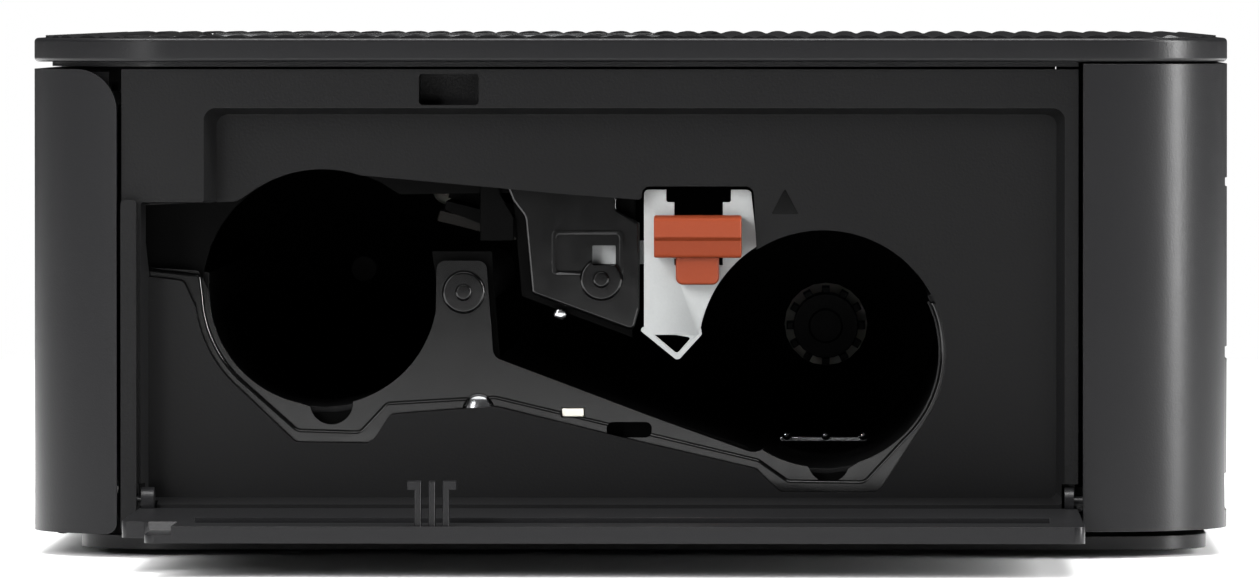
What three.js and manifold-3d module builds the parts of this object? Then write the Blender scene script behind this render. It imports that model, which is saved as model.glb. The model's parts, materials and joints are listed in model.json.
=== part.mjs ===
// Compact dye-sublimation photo printer, its cassette bay open: a rounded low box whose right-hand side
// (+X) holds a recessed bay for the ribbon cassette, behind a door that folds down.
// Millimetres. +Z up, the paper side faces -Y, the cassette side faces +X.
// The origin is the middle of the base pan's underside.
import * as THREE from "three";
import { mergeVertices } from "three/addons/utils/BufferGeometryUtils.js";
import Module from "manifold-3d";

const wasm = await Module();
wasm.setup();

// ---------------------------------------------------------------- driving dimensions
const WIDTH = 182.2; // over the left and right sides
const DEPTH = 133; // over the front cover and the rear cover
const PLAN_RADIUS = 16; // vertical corners, seen from above
const WALL = 1.8; // moulded shells
const GAP = 0.3; // between pieces that fit in one another
const LID = { bottom: 54.1, top: 57.1 };
const SHELL = { bottom: 1.9, top: 53.3 }; // the upright shells between the base and the lid
const SIDE = WIDTH / 2;
const FRONT = -DEPTH / 2;
const REAR = DEPTH / 2;
const FRONT_SEAM = -56.5; // where the front cover's side flange ends
const REAR_SEAM = 50.2; // where the rear cover starts

// The cassette side, from the outside in: skin, door seat, bay floor, bay frame, steel side plate.
const SEAT_X = 89.1;
const FLOOR_X = 84.6;
const FLOOR_THICKNESS = 1.5;
const FRAME_X = 82.8;
const RIGHT_PLATE_X = 78.2;
const LEFT_PLATE_X = -37.2; // far wall of the bay, 1.2 thick
const PLATE = 1.2;

// Shaft axes in the bay, as [y, z].
const SUPPLY_AXIS = [-34, 28.6];
const TAKE_UP_AXIS = [21.55, 21.85];
const SPOOL_RADIUS = 12.7;
const PLATEN_AXIS = [-18.4, 28.5];
const HEAD_PIVOT = [-3.1, 29.95];
const HEAD_LIFT = THREE.MathUtils.degToRad(14); // the head stands raised while the bay is open

// Drive train: one module, stub teeth with backlash, all in one plane behind the far wall.
const GEAR = { module: 0.8, addendum: 0.64, dedendum: 0.92, backlash: 0.14, x: -41.6, width: 3.6 };
const TEETH = { pinion: 12, platen: 16, feed: 17, idler: 20, takeUp: 42 };

const DOOR_AXIS = { x: 88.8, z: 5.3 };
const COVER_AXIS = { y: -63.3, z: 3 };
const LEVER = { bottom: 32.4, top: 37.1, front: 86.8 };

// ---------------------------------------------------------------- materials
const paint = (color, roughness, metalness = 0) =>
  new THREE.MeshStandardMaterial({ color, roughness, metalness });
const SATIN_BLACK = paint(0x26272a, 0.45);
const PANEL_BLACK = paint(0x1e1f21, 0.55);
const GLOSS_BLACK = paint(0x0c0c0d, 0.18);
const RUBBER = paint(0x141414, 0.9);
const STEEL = paint(0xb8bcc0, 0.3, 1);
const SHEET_STEEL = paint(0x6f7376, 0.4, 1);
const BLACK_STEEL = paint(0x131314, 0.5);
const NATURAL_PLASTIC = paint(0xc8cbcb, 0.5);
const GEAR_PLASTIC = paint(0xe4e1d6, 0.5);
const ORANGE = paint(0xc85c3e, 0.45);
const BOARD_GREEN = paint(0x1f5a3c, 0.5);
const GLASS = paint(0x08090b, 0.05);
const BUTTON_GREY = paint(0x3a3b3e, 0.5);
const CERAMIC = paint(0x2b2622, 0.3);

// ---------------------------------------------------------------- solid helpers
function solid(geometry) {
  const bare = geometry.clone();
  bare.deleteAttribute("normal");
  bare.deleteAttribute("uv");
  const merged = mergeVertices(bare, 1e-4);
  return new wasm.Manifold(
    new wasm.Mesh({
      numProp: 3,
      vertProperties: merged.attributes.position.array,
      triVerts: new Uint32Array(merged.index.array),
    }),
  );
}

const join = (...solids) => solids.reduce((whole, next) => whole.add(next));
const cut = (body, ...tools) => tools.reduce((left, tool) => left.subtract(tool), body);

function box(x0, x1, y0, y1, z0, z1) {
  const geometry = new THREE.BoxGeometry(x1 - x0, y1 - y0, z1 - z0);
  return solid(geometry.translate((x0 + x1) / 2, (y0 + y1) / 2, (z0 + z1) / 2));
}

// An outline from a list of [u, v] corners; a third value rounds that corner by that radius.
function outline(corners, holes = []) {
  const shape = new THREE.Shape();
  corners.forEach(([u, v, radius = 0], i) => {
    const corner = new THREE.Vector2(u, v);
    const [before, after] = [corners.at(i - 1), corners[(i + 1) % corners.length]];
    const into = new THREE.Vector2(before[0] - u, before[1] - v).normalize();
    const out = new THREE.Vector2(after[0] - u, after[1] - v).normalize();
    const half = Math.acos(THREE.MathUtils.clamp(into.dot(out), -1, 1)) / 2;
    const run = radius / Math.tan(half);
    const steps = radius > 0 ? Math.max(3, Math.round((Math.PI - 2 * half) / 0.26)) : 0;
    const start = corner.clone().addScaledVector(into, run);
    const end = corner.clone().addScaledVector(out, run);
    const centre = corner.clone().addScaledVector(into.clone().add(out).normalize(), radius / Math.sin(half));
    const spokes = [start.clone().sub(centre), end.clone().sub(centre)];
    for (let k = 0; k <= steps; k++) {
      const spoke = spokes[0].clone().lerp(spokes[1], steps ? k / steps : 0);
      const point = radius > 0 ? centre.clone().add(spoke.setLength(radius)) : corner;
      if (i === 0 && k === 0) shape.moveTo(point.x, point.y);
      else shape.lineTo(point.x, point.y);
    }
  });
  holes.forEach((hole) => shape.holes.push(outline(hole)));
  return shape;
}

// Points of an arc about [u, v], in degrees, both ends included.
function arc([u, v], radius, from, to, steps) {
  return Array.from({ length: steps + 1 }, (_, k) => {
    const angle = THREE.MathUtils.degToRad(from + ((to - from) * k) / steps);
    return [u + radius * Math.cos(angle), v + radius * Math.sin(angle)];
  });
}

const rectangle = (u0, u1, v0, v1, radius = 0) => [
  [u0, v0, radius],
  [u1, v0, radius],
  [u1, v1, radius],
  [u0, v1, radius],
];

// Straight extrusions of an outline: [y, z] along X, [x, z] along Y, [x, y] along Z.
function extrude(shape, depth, xAxis, yAxis, zAxis, from) {
  const geometry = new THREE.ExtrudeGeometry(shape, { depth, bevelEnabled: false, curveSegments: 6 });
  const turn = new THREE.Matrix4().makeBasis(xAxis, yAxis, zAxis).setPosition(from);
  return solid(geometry.applyMatrix4(turn));
}
const X = new THREE.Vector3(1, 0, 0);
const Y = new THREE.Vector3(0, 1, 0);
const Z = new THREE.Vector3(0, 0, 1);
const MINUS_Y = new THREE.Vector3(0, -1, 0);
const alongX = (corners, x0, x1, holes) =>
  extrude(outline(corners, holes), x1 - x0, Y, Z, X, new THREE.Vector3(x0, 0, 0));
const alongY = (corners, y0, y1, holes) =>
  extrude(outline(corners, holes), y1 - y0, X, Z, MINUS_Y, new THREE.Vector3(0, y1, 0));
const alongZ = (corners, z0, z1, holes) =>
  extrude(outline(corners, holes), z1 - z0, X, Y, Z, new THREE.Vector3(0, 0, z0));

// Round rods: along X about [y, z], along Y about [x, z], along Z about [x, y].
const disc = (centre, radius, sides) => arc(centre, radius, 0, 360 - 360 / sides, sides - 1);
const rodX = (centre, radius, x0, x1, sides = 16) => alongX(disc(centre, radius, sides), x0, x1);
const rodY = (centre, radius, y0, y1, sides = 16) => alongY(disc(centre, radius, sides), y0, y1);
const rodZ = (centre, radius, z0, z1, sides = 16) => alongZ(disc(centre, radius, sides), z0, z1);

// The printer's plan, pulled in by an inset.
const plan = (inset) => rectangle(-SIDE + inset, SIDE - inset, FRONT + inset, REAR - inset, PLAN_RADIUS - inset);

// A close-wound wire coil about the Z axis, made by sweeping a small circle along a helix.
class Helix extends THREE.Curve {
  constructor(radius, height, turns) {
    super();
    Object.assign(this, { radius, height, turns });
  }
  getPoint(t) {
    const angle = 2 * Math.PI * this.turns * t;
    return new THREE.Vector3(this.radius * Math.cos(angle), this.radius * Math.sin(angle), this.height * t);
  }
}
function coil(radius, height, turns, wire) {
  const section = outline(disc([0, 0], wire, 6));
  const path = new Helix(radius, height, turns);
  return solid(new THREE.ExtrudeGeometry(section, { steps: turns * 9, extrudePath: path, bevelEnabled: false }));
}

// ---------------------------------------------------------------- the assembly
const printer = new THREE.Group();

function geometryOf(body) {
  const mesh = body.getMesh();
  const positions = new Float32Array(mesh.numVert * 3);
  for (let i = 0; i < mesh.numVert; i++)
    positions.set(mesh.vertProperties.subarray(i * mesh.numProp, i * mesh.numProp + 3), i * 3);
  return new THREE.BufferGeometry()
    .setAttribute("position", new THREE.BufferAttribute(positions, 3))
    .setIndex(new THREE.BufferAttribute(new Uint32Array(mesh.triVerts), 1));
}

function place(name, body, material, parent = printer) {
  const mesh = new THREE.Mesh(geometryOf(body), material);
  mesh.name = name;
  parent.add(mesh);
  return mesh;
}

// ---------------------------------------------------------------- base
const BASE_TOP = 1.6;
const FEET = { left: -70, right: 70, front: -38.95, rear: 41.35 };
const FOOT = { radius: 3.4, height: 0.5, seat: 0.4 };
const MAIN_BOARD = { x0: -84, x1: -54, y0: -42, y1: 42, z: 8 };

const footPlaces = Object.entries({
  front_left: [FEET.left, FEET.front],
  front_right: [FEET.right, FEET.front],
  rear_left: [FEET.left, FEET.rear],
  rear_right: [FEET.right, FEET.rear],
});

function basePan() {
  const posts = [MAIN_BOARD.x0 + 3, MAIN_BOARD.x1 - 3].flatMap((x) =>
    [MAIN_BOARD.y0 + 4, MAIN_BOARD.y1 - 4].map((y) => rodZ([x, y], 2.2, 0.8, MAIN_BOARD.z - GAP, 10)),
  );
  const vents = Array.from({ length: 8 }, (_, i) => box(-78 + 5 * i, -75.5 + 5 * i, 10, 32, -1, 2));
  const studHoles = footPlaces.map(([, at]) => rodZ(at, 1.8, -1, 2, 12));
  const footSeats = footPlaces.map(([, at]) => rodZ(at, FOOT.radius + GAP, -1, FOOT.seat, 18));
  const pan = alongZ(rectangle(-84.8, 84.8, -61.3, 64.2, 10), 0, BASE_TOP);
  return cut(join(cut(pan, ...vents), ...posts), ...studHoles, ...footSeats);
}
place("base_pan", basePan(), SATIN_BLACK);

for (const [name, [x, y]] of footPlaces) {
  const foot = join(rodZ([0, 0], FOOT.radius, -FOOT.height, FOOT.seat, 18), rodZ([0, 0], 1.5, 0, 1.2, 12));
  place("foot_" + name, foot, RUBBER).position.set(x, y, 0);
}

// ---------------------------------------------------------------- front frame and front cover
const PAPER_SLOT = { x0: -30, x1: 68, top: 13 };
const HINGE_BLOCKS = [-72, 72];

function frontFrame() {
  const shell = alongZ(plan(2.6), 7, 53, [plan(4.4)]);
  let frame = shell.intersect(box(-95, 95, -70, -57.5, 0, 60));
  frame = cut(frame, box(PAPER_SLOT.x0, PAPER_SLOT.x1, -70, -55, 0, PAPER_SLOT.top));
  frame = cut(frame, box(-6, 6, -70, -55, 47.6, 51.3));
  for (const x of HINGE_BLOCKS) {
    const arm = box(x - 1.5, x + 1.5, -63.6, -62.1, COVER_AXIS.z, 7.6);
    const eye = rodX([COVER_AXIS.y, COVER_AXIS.z], 1.6, x - 1.5, x + 1.5);
    const hole = rodX([COVER_AXIS.y, COVER_AXIS.z], 0.95, x - 2, x + 2);
    frame = cut(join(frame, arm, eye), hole);
  }
  return frame;
}
place("front_frame", frontFrame(), PANEL_BLACK);

function frontCover() {
  const shell = alongZ(plan(0), SHELL.bottom, SHELL.top, [plan(2)]);
  const side = [[-67, SHELL.bottom, 1], [FRONT_SEAM, SHELL.bottom, 1.2], [FRONT_SEAM, SHELL.top, 4.6], [-67, SHELL.top]];
  let cover = shell.intersect(alongX(side, -95, 95));
  for (const x of HINGE_BLOCKS) {
    cover = cut(cover, rodX([COVER_AXIS.y, COVER_AXIS.z], 2, x - 1.9, x + 1.9));
    for (const ear of [x - 4.6, x + 1.9])
      cover = join(cover, rodX([COVER_AXIS.y, COVER_AXIS.z], 1.6, ear, ear + 2.7));
    cover = cut(cover, rodX([COVER_AXIS.y, COVER_AXIS.z], 0.8, x - 4, x + 4));
  }
  return join(cover, box(-5, 5, -65, -61, 48.6, 50.2));
}
place("front_cover", frontCover(), SATIN_BLACK);
HINGE_BLOCKS.forEach((x, i) => {
  const pin = rodX([COVER_AXIS.y, COVER_AXIS.z], 0.6, x - 3.7, x + 3.7, 12);
  place("front_cover_pin_" + ["left", "right"][i], pin, STEEL);
});

// ---------------------------------------------------------------- cassette side panel
const RECESS_OUTER = [[-53.9, 5.2, 0.8], [48.2, 5.2, 0.8], [48.2, 49, 1.3], [-46.9, 49, 1.3], [-46.9, 38.6], [-53.9, 38.6]];
const RECESS_FLOOR = [[-53.3, 5.8, 0.8], [47.35, 5.8, 0.8], [47.35, 48.3, 1.3], [-45.7, 48.3, 1.3], [-45.7, 38.4], [-53.3, 38.4]];
const LATCH_SLOT = { y0: -23.1, y1: -16.5, z0: 49.35, z1: 52.8, floor: 84.2 };

// The cassette opening: front spool, bridge, the eject lever's notch, rear spool, then the low edge.
const OPENING = [
  [-53.25, 30.25],
  [-54.1, 38.2],
  [-47, 38.5],
  [-43.5, 38.6, 2],
  ...arc(SUPPLY_AXIS, 13.6, 122, 72, 8),
  [-7.8, 39.5],
  [1.43, 38.8],
  [1.43, 40.3, 0.9],
  [13.8, 40.3, 0.9],
  ...arc(TAKE_UP_AXIS, 13.6, 123, -33, 18),
  [28.05, 7, 0.8],
  [27.4, 6.4],
  [16.8, 6.4, 0.8],
  [14.1, 9, 1],
  [1.05, 12],
  [-14.9, 15.9, 3],
  [-26.5, 15, 1],
  [-28.3, 12.25],
  [-29.05, 11.8],
  [-37, 11.9, 1],
  ...arc(SUPPLY_AXIS, 14.2, 230, 187, 6),
  [-49.45, 29.8, 0.8],
];

// A pocket whose walls lean in: the outer outline at one depth, the floor outline at another.
function pocket(outer, floor, xOuter, xFloor) {
  const [big, small] = [outer, floor].map((corners) => outline(corners).getPoints());
  const layers = [[small, xFloor], [big, xOuter]];
  const positions = layers.flatMap(([points, x]) => points.flatMap((p) => [x, p.x, p.y]));
  const count = big.length;
  const caps = THREE.ShapeUtils.triangulateShape(big, []);
  const index = caps.flatMap(([a, b, c]) => [c, b, a, a + count, b + count, c + count]);
  for (let i = 0; i < count; i++) {
    const j = (i + 1) % count;
    index.push(i, j, j + count, i, j + count, i + count);
  }
  const geometry = new THREE.BufferGeometry()
    .setAttribute("position", new THREE.BufferAttribute(new Float32Array(positions), 3))
    .setIndex(index);
  return solid(geometry);
}

const HINGE_CLEAR_TOP = DOOR_AXIS.z + 2.2;

function cassetteSidePanel() {
  const face = box(SEAT_X - WALL, SEAT_X, -56, 49.7, 4.2, SHELL.top);
  const tub = box(FLOOR_X - FLOOR_THICKNESS, SEAT_X - 0.5, -55.1, 49.4, 4.4, 39.8);
  const upperTub = box(FLOOR_X - FLOOR_THICKNESS, SEAT_X - 0.5, -48.1, 49.4, 30, 50.2);
  const apron = box(FLOOR_X - FLOOR_THICKNESS, FLOOR_X, -55.1, 49.4, SHELL.bottom, 6);
  const strip = box(85.2, SIDE, -56, -54.3, 2.3, 38.9);
  const { y0, y1, z0, z1, floor } = LATCH_SLOT;
  const latchTub = box(floor - 1, SEAT_X - 0.5, y0 - 1, y1 + 1, z0 - 0.3, z1 + 0.4);
  const recess = pocket(RECESS_OUTER, RECESS_FLOOR, SEAT_X, FLOOR_X);
  const recessMouth = alongX(RECESS_OUTER, SEAT_X - 0.01, 93);
  const bay = alongX(OPENING, 80, 86);
  const mark = alongX([[15.8, 37.2], [18.8, 37.2], [17.3, 40.1]], FLOOR_X - 0.3, FLOOR_X + 1);
  const hinge = [DOOR_AXIS.x, DOOR_AXIS.z];
  return cut(
    join(face, tub, upperTub, latchTub, apron, strip),
    recess,
    recessMouth,
    bay,
    mark,
    box(floor, 93, y0, y1, z0, z1),
    rodY(hinge, 2.15, -54.1, -52.1),
    box(DOOR_AXIS.x - 2.2, 93, -54.25, -52.1, 2, HINGE_CLEAR_TOP),
    rodY(hinge, 1.15, -57, -54),
    box(DOOR_AXIS.x - 2.2, 93, 47.9, 50, 2, HINGE_CLEAR_TOP),
  );
}
place("cassette_side_panel", cassetteSidePanel(), PANEL_BLACK);

// ---------------------------------------------------------------- cassette door, built shut and hung open
const DOOR = { inner: 89.3, outer: SIDE, z0: 1.7, z1: 53, y0: -54, y1: 49.6, thumbY: -50.8, stepZ: 39.3 };

function cassetteDoor() {
  const { inner, outer, z0, z1, y0, y1, thumbY, stepZ } = DOOR;
  const corners = [
    [y0, z0, 0.4],
    [y1, z0, 0.4],
    [y1, z1, 1.2],
    [thumbY, z1, 1.2],
    [thumbY, stepZ + 1.8, 1.5],
    [y0, stepZ, 1.2],
  ];
  const plate = alongX(corners, inner, outer);
  const scoop = alongY([[inner - 1, 40], [inner + 0.9, 41.5], [inner + 0.9, z1 + 1], [inner - 1, z1 + 1]], -51, -47.9);
  const thinEdge = box(inner - 1, 90.2, y0 - 1, y1 + 1, z0 - 1, DOOR_AXIS.z + 0.5);
  const ears = [[-53.8, -52.4], [48.2, 49.2]].map(([a, b]) =>
    join(
      rodY([DOOR_AXIS.x, DOOR_AXIS.z], 1.8, a, b),
      box(DOOR_AXIS.x, 90.4, a, b, DOOR_AXIS.z - 1.8, DOOR_AXIS.z + 1.2),
    ),
  );
  const pins = [[-55.2, -53.5], [49, 51.5]].map(([a, b]) => rodY([DOOR_AXIS.x, DOOR_AXIS.z], 0.85, a, b, 12));
  const hook = (y, lean) => {
    const leg = box(84.5, inner + 0.2, y - 0.35, y + 0.35, 49.7, 52.1);
    return lean ? join(leg, box(84.5, 85.4, Math.min(y, y + lean), Math.max(y, y + lean), 49.7, 52.1)) : leg;
  };
  const hooks = [hook(-21.6, -1.1), hook(-20.1, 0), hook(-18.6, 1.1)];
  const ribs = box(inner - 0.6, inner + 0.2, -46, 46, 42.5, 43.6);
  return join(cut(plate, scoop, thinEdge), ...ears, ...pins, ...hooks, ribs);
}
const doorHinge = new THREE.Group();
doorHinge.position.set(DOOR_AXIS.x, 0, DOOR_AXIS.z);
doorHinge.rotation.y = Math.PI / 2;
printer.add(doorHinge);
place("cassette_door", cassetteDoor().translate([-DOOR_AXIS.x, 0, -DOOR_AXIS.z]), SATIN_BLACK, doorHinge);

// ---------------------------------------------------------------- left panel, rear cover, lid
const CARD_SLOT = { y: -26, width: 24.6, z: 11.2, height: 2.6 };
const USB_PORT = { y: 8, width: 9.4, z: 11.6, height: 3.6 };
const INLET = { x: -70, z: 13 };

function leftSidePanel() {
  const face = box(-SIDE, -SIDE + WALL, -56, 49.7, SHELL.bottom, SHELL.top);
  const ledge = box(-SIDE + WALL - 0.2, -SIDE + 4, -52, 46, 50.4, 51.6);
  const slot = ({ y, width, z, height }) => box(-92, -86, y - width / 2, y + width / 2, z - height / 2, z + height / 2);
  const tongue = box(-SIDE + WALL - 0.2, -SIDE + 3, 47.5, REAR_SEAM - 0.15, 2.5, 53);
  return cut(join(face, ledge, tongue), slot(CARD_SLOT), slot(USB_PORT));
}
place("left_side_panel", leftSidePanel(), SATIN_BLACK);

function rearCover() {
  const corners = [[REAR_SEAM, 2.3], [67, 2.3, 1.1], [67, 53.9], [REAR_SEAM, 53.9]];
  const profile = alongX(corners, -95, 95);
  let cover = alongZ(plan(0), 1, 55, [plan(2)]).intersect(profile);
  for (const side of [-1, 1]) {
    const [a, b] = [side * 86.4, side * (SIDE - 1)].sort((p, q) => p - q);
    cover = join(cover, box(a, b, REAR_SEAM, REAR_SEAM + 1.8, 2.3, 53.9));
  }
  const grooves = [[40.2, 41.2], [21, 22.4], [4.2, 8.3]].map(([z0, z1]) => box(-70, 80, REAR - GAP, 68, z0, z1));
  const paperSlot = box(PAPER_SLOT.x0 + 1, PAPER_SLOT.x1 - 1, 60, 68, 20.8, 22.6);
  const louvres = Array.from({ length: 14 }, (_, i) => box(-66 + 10 * i, -59 + 10 * i, 60, 68, 44.6, 46.2));
  const inlet = rodY([INLET.x, INLET.z], 4.2, 60, 68, 18);
  const pinHole = rodY([DOOR_AXIS.x, DOOR_AXIS.z], 1.15, 50, 52.5, 12);
  return cut(cover, ...grooves, paperSlot, ...louvres, inlet, pinHole);
}
place("rear_cover", rearCover(), SATIN_BLACK);

const CONSOLE = { x0: -64, x1: 74, y0: -58, y1: 6 };
const consoleOutline = (grow) =>
  rectangle(CONSOLE.x0 - grow, CONSOLE.x1 + grow, CONSOLE.y0 - grow, CONSOLE.y1 + grow, 5 + grow);

function topLid() {
  const skin = alongZ(plan(0), LID.bottom, LID.top);
  const hollow = alongZ(plan(4.4), LID.bottom - 1, 55.3);
  const lip = alongZ(plan(1.9), 53.6, LID.bottom + 0.2, [plan(4.6)]);
  const rearCoverTop = box(-92, 92, REAR_SEAM - 0.5, 70, 50, LID.bottom);
  return cut(join(cut(skin, hollow), cut(lip, rearCoverTop)), alongZ(consoleOutline(GAP), 50, 58));
}
place("top_lid", topLid(), SATIN_BLACK);

// ---------------------------------------------------------------- console: screen and buttons
const SCREEN = { x0: -50, x1: 26, y0: -54, y1: 2 };
const BUTTONS = {
  power_button: { at: [66, 0], radius: 3.2 },
  menu_button: { at: [38, -9], radius: 3.6 },
  back_button: { at: [38, -45], radius: 3.6 },
  edit_button: { at: [66, -45], radius: 3.6 },
  print_button: { at: [66, -12], radius: 4.2 },
};
const PAD = { at: [52, -27], outer: 11, inner: 4.6, ok: 4.2 };
const BUTTON_TRAVEL = 0.5;
const BOARD_TOP = 51.4;
const CAP_FLANGE = { bottom: 53.4, top: 54.2 };
const buttonHole = (at, radius) => rodZ(at, radius + GAP, 53, 58, 20);

function controlPanel() {
  const plate = alongZ(consoleOutline(0), 55, 56.9);
  const flange = alongZ(consoleOutline(2), 54.4, 55.1);
  const holes = Object.values(BUTTONS).map(({ at, radius }) => buttonHole(at, radius));
  const window = alongZ(rectangle(SCREEN.x0, SCREEN.x1, SCREEN.y0, SCREEN.y1, 2), 55.6, 58);
  const view = alongZ(rectangle(SCREEN.x0 + 2, SCREEN.x1 - 2, SCREEN.y0 + 2, SCREEN.y1 - 2, 1), 53, 58);
  return cut(join(plate, flange), ...holes, buttonHole(PAD.at, PAD.outer), window, view);
}
place("control_panel", controlPanel(), GLOSS_BLACK);

const pane = rectangle(SCREEN.x0 + GAP, SCREEN.x1 - GAP, SCREEN.y0 + GAP, SCREEN.y1 - GAP, 1.7);
place("display_window", alongZ(pane, 55.7, 56.8), GLASS);
place("display_module", box(SCREEN.x0 + 1, SCREEN.x1 - 1, SCREEN.y0 + 1, SCREEN.y1 - 1, 51, 54.1), PANEL_BLACK);

function cap(radius, bore = 0) {
  const top = rodZ([0, 0], radius, 53.8, 57, 20);
  const skirt = rodZ([0, 0], radius + 1.2, CAP_FLANGE.bottom, CAP_FLANGE.top, 20);
  const body = join(top, skirt);
  return bore ? cut(body, rodZ([0, 0], bore, 50, 58, 20)) : join(body, rodZ([0, 0], 1.4, 52.6, 53.6, 10));
}
for (const [name, { at, radius }] of Object.entries(BUTTONS))
  place(name, cap(radius), BUTTON_GREY).position.set(...at, 0);
place("navigation_ring", cap(PAD.outer, PAD.inner), BUTTON_GREY).position.set(...PAD.at, 0);
const okStem = rodZ([0, 0], 1.4, 52.6, 53.6, 10);
place("ok_button", join(rodZ([0, 0], PAD.ok, 53.4, 57, 20), okStem), BUTTON_GREY).position.set(...PAD.at, 0);

function buttonBoard() {
  const board = box(32, 72, -52, 5, BOARD_TOP - 1.2, BOARD_TOP);
  const places = [...Object.values(BUTTONS).map(({ at }) => at), PAD.at];
  const ring = [0, 1, 2, 3].map((i) => arc(PAD.at, 8, 90 * i, 90 * i, 1)[0]);
  const dome = ([x, y]) => box(x - 1.6, x + 1.6, y - 1.6, y + 1.6, BOARD_TOP - 0.1, 52);
  return join(board, ...[...places, ...ring].map(dome));
}
place("button_board", buttonBoard(), BOARD_GREEN);

// ---------------------------------------------------------------- main board and sockets
function mainBoard() {
  const { x0, x1, y0, y1, z } = MAIN_BOARD;
  const chips = [[-66, -20, 12, 12, 1.6], [-64, 2, 8, 14, 1.2], [-66, 24, 10, 10, 6], [-60, -36, 6, 6, 8]];
  const board = box(x0, x1, y0, y1, z, z + 1.6);
  return join(board, ...chips.map(([x, y, w, d, h]) => box(x, x + w, y, y + d, z + 1.5, z + 1.6 + h)));
}
place("main_board", mainBoard(), BOARD_GREEN);

function socketShell({ y, width, z, height }, back, wall) {
  const [y0, y1, z0, z1] = [y - width / 2, y + width / 2, z - height / 2, z + height / 2];
  const outer = box(-88.6, back, y0 - wall, y1 + wall, z0 - wall, z1 + wall);
  return cut(outer, box(-90, back - wall, y0, y1, z0, z1));
}
place("card_reader", cut(socketShell(CARD_SLOT, -68, 0.4), box(-84.5, -60, -40, -10, 5, 9.7)), SHEET_STEEL);
const tongue = box(-87.6, -78.2, 5.4, 10.6, 11.2, 12);
const usbSocket = cut(join(socketShell(USB_PORT, -78, 0.4), tongue), box(-84.5, -70, 0, 20, 5, 9.7));
place("usb_socket", usbSocket, STEEL);

function dcInlet() {
  const body = box(INLET.x - 4.5, INLET.x + 4.5, 51, 63.6, INLET.z - 5.5, INLET.z + 5.5);
  const barrel = rodY([INLET.x, INLET.z], 3.8, 63, 66, 18);
  const bore = rodY([INLET.x, INLET.z], 2.8, 54, 68, 18);
  return join(cut(join(body, barrel), bore), rodY([INLET.x, INLET.z], 0.9, 53, 64.8, 10));
}
place("dc_inlet", dcInlet(), PANEL_BLACK);

// ---------------------------------------------------------------- gear train layout
const pitchRadius = (teeth) => (GEAR.module * teeth) / 2;
const toward = ([y, z], distance, degrees) => arc([y, z], distance, degrees, degrees, 1)[0];
const FEED_AXIS = toward(PLATEN_AXIS, pitchRadius(TEETH.platen + TEETH.feed), -82.66);
const PINION_AXIS = toward(PLATEN_AXIS, pitchRadius(TEETH.platen + TEETH.pinion), 120);

// The idler meets both the feed gear and the take-up gear: the lower crossing of two circles.
function idlerAxis() {
  const [near, far] = [pitchRadius(TEETH.feed + TEETH.idler), pitchRadius(TEETH.takeUp + TEETH.idler)];
  const [dy, dz] = [TAKE_UP_AXIS[0] - FEED_AXIS[0], TAKE_UP_AXIS[1] - FEED_AXIS[1]];
  const span = Math.hypot(dy, dz);
  const along = (span ** 2 + near ** 2 - far ** 2) / (2 * span);
  const offset = Math.sqrt(near ** 2 - along ** 2);
  return [FEED_AXIS[0] + (along * dy + offset * dz) / span, FEED_AXIS[1] + (along * dz - offset * dy) / span];
}
const IDLER_AXIS = idlerAxis();
const FEED_ROLLER = 2.6;
const PINCH_ROLLER = 2;
const PINCH_AXIS = [FEED_AXIS[0], FEED_AXIS[1] - FEED_ROLLER - PINCH_ROLLER - GAP];

// ---------------------------------------------------------------- bay frame around the cassette opening
// Hidden outer edge of the frame, behind the panel's floor, from the upper right round to the left.
const FRAME_OUTER = [
  [36.6, 27.5],
  [36.6, 12],
  [29.6, 4.4],
  [15.8, 4.4],
  [12.9, 7],
  [-14.9, 13.6],
  [-25.3, 12.9],
  [-27.3, 9.8],
  [-37.9, 9.8],
  [-44.9, 16.4],
  [-50.6, 26.5],
  [-54.6, 28.4],
  [-54.6, 31.3],
];
const SHAFT_END = 81.2; // the shafts end inside closed bosses
const POST = [[-21.4, 32, 1], [-15.9, 32, 1]];

function bayLowerFrame() {
  const spoolEdges = [
    ...FRAME_OUTER,
    [-47.9, 30.9],
    ...arc(SUPPLY_AXIS, SPOOL_RADIUS, 180, 258, 8),
    ...arc([-33.1, 16.2], 2.4, 190, 350, 6),
    ...arc(SUPPLY_AXIS, SPOOL_RADIUS, 285, 350, 7),
    ...POST,
    [-15.1, 21.3, 0.6],
    [3.25, 14.4],
    [14.2, 10.5],
    ...arc(TAKE_UP_AXIS, 12.8, 238, 262, 3),
    ...arc([22.15, 9.7], 2.3, 200, 340, 6),
    ...arc(TAKE_UP_AXIS, 12.8, 288, 386, 10),
  ];
  const rimEdges = [
    ...FRAME_OUTER,
    [-47.6, 30.5],
    ...arc(SUPPLY_AXIS, 13.3, 183, 226, 5),
    [-36.8, 13.3, 1],
    [-30, 13.1, 1],
    [-27, 16.3, 1],
    [-14.9, 17, 2],
    [1.4, 13.1],
    [14.4, 10],
    [17.7, 7.7, 0.8],
    [26, 7.6, 1],
    ...arc(TAKE_UP_AXIS, 13, 313, 386, 7),
  ];
  const boss = join(rodX(PLATEN_AXIS, 2.4, 81, 82.6, 20), rodX(PLATEN_AXIS, 1, 82.5, 83.1, 16));
  const holes = [
    rodX(PLATEN_AXIS, 1.7, 78, SHAFT_END + 0.2),
    rodX(FEED_AXIS, 2.3, 78, 84, 20),
    box(78, 84, -7.6, -4.9, 14.6, 15.7),
    alongX(rectangle(-2.5, 2.5, 12.4, 14.1, 0.7), 78, 84),
  ];
  const sheet = alongX(spoolEdges, FRAME_X - 2.8, FRAME_X - 1);
  const rim = alongX(rimEdges, FRAME_X - 1.2, FRAME_X);
  return cut(join(sheet, rim, boss), ...holes);
}

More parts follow.
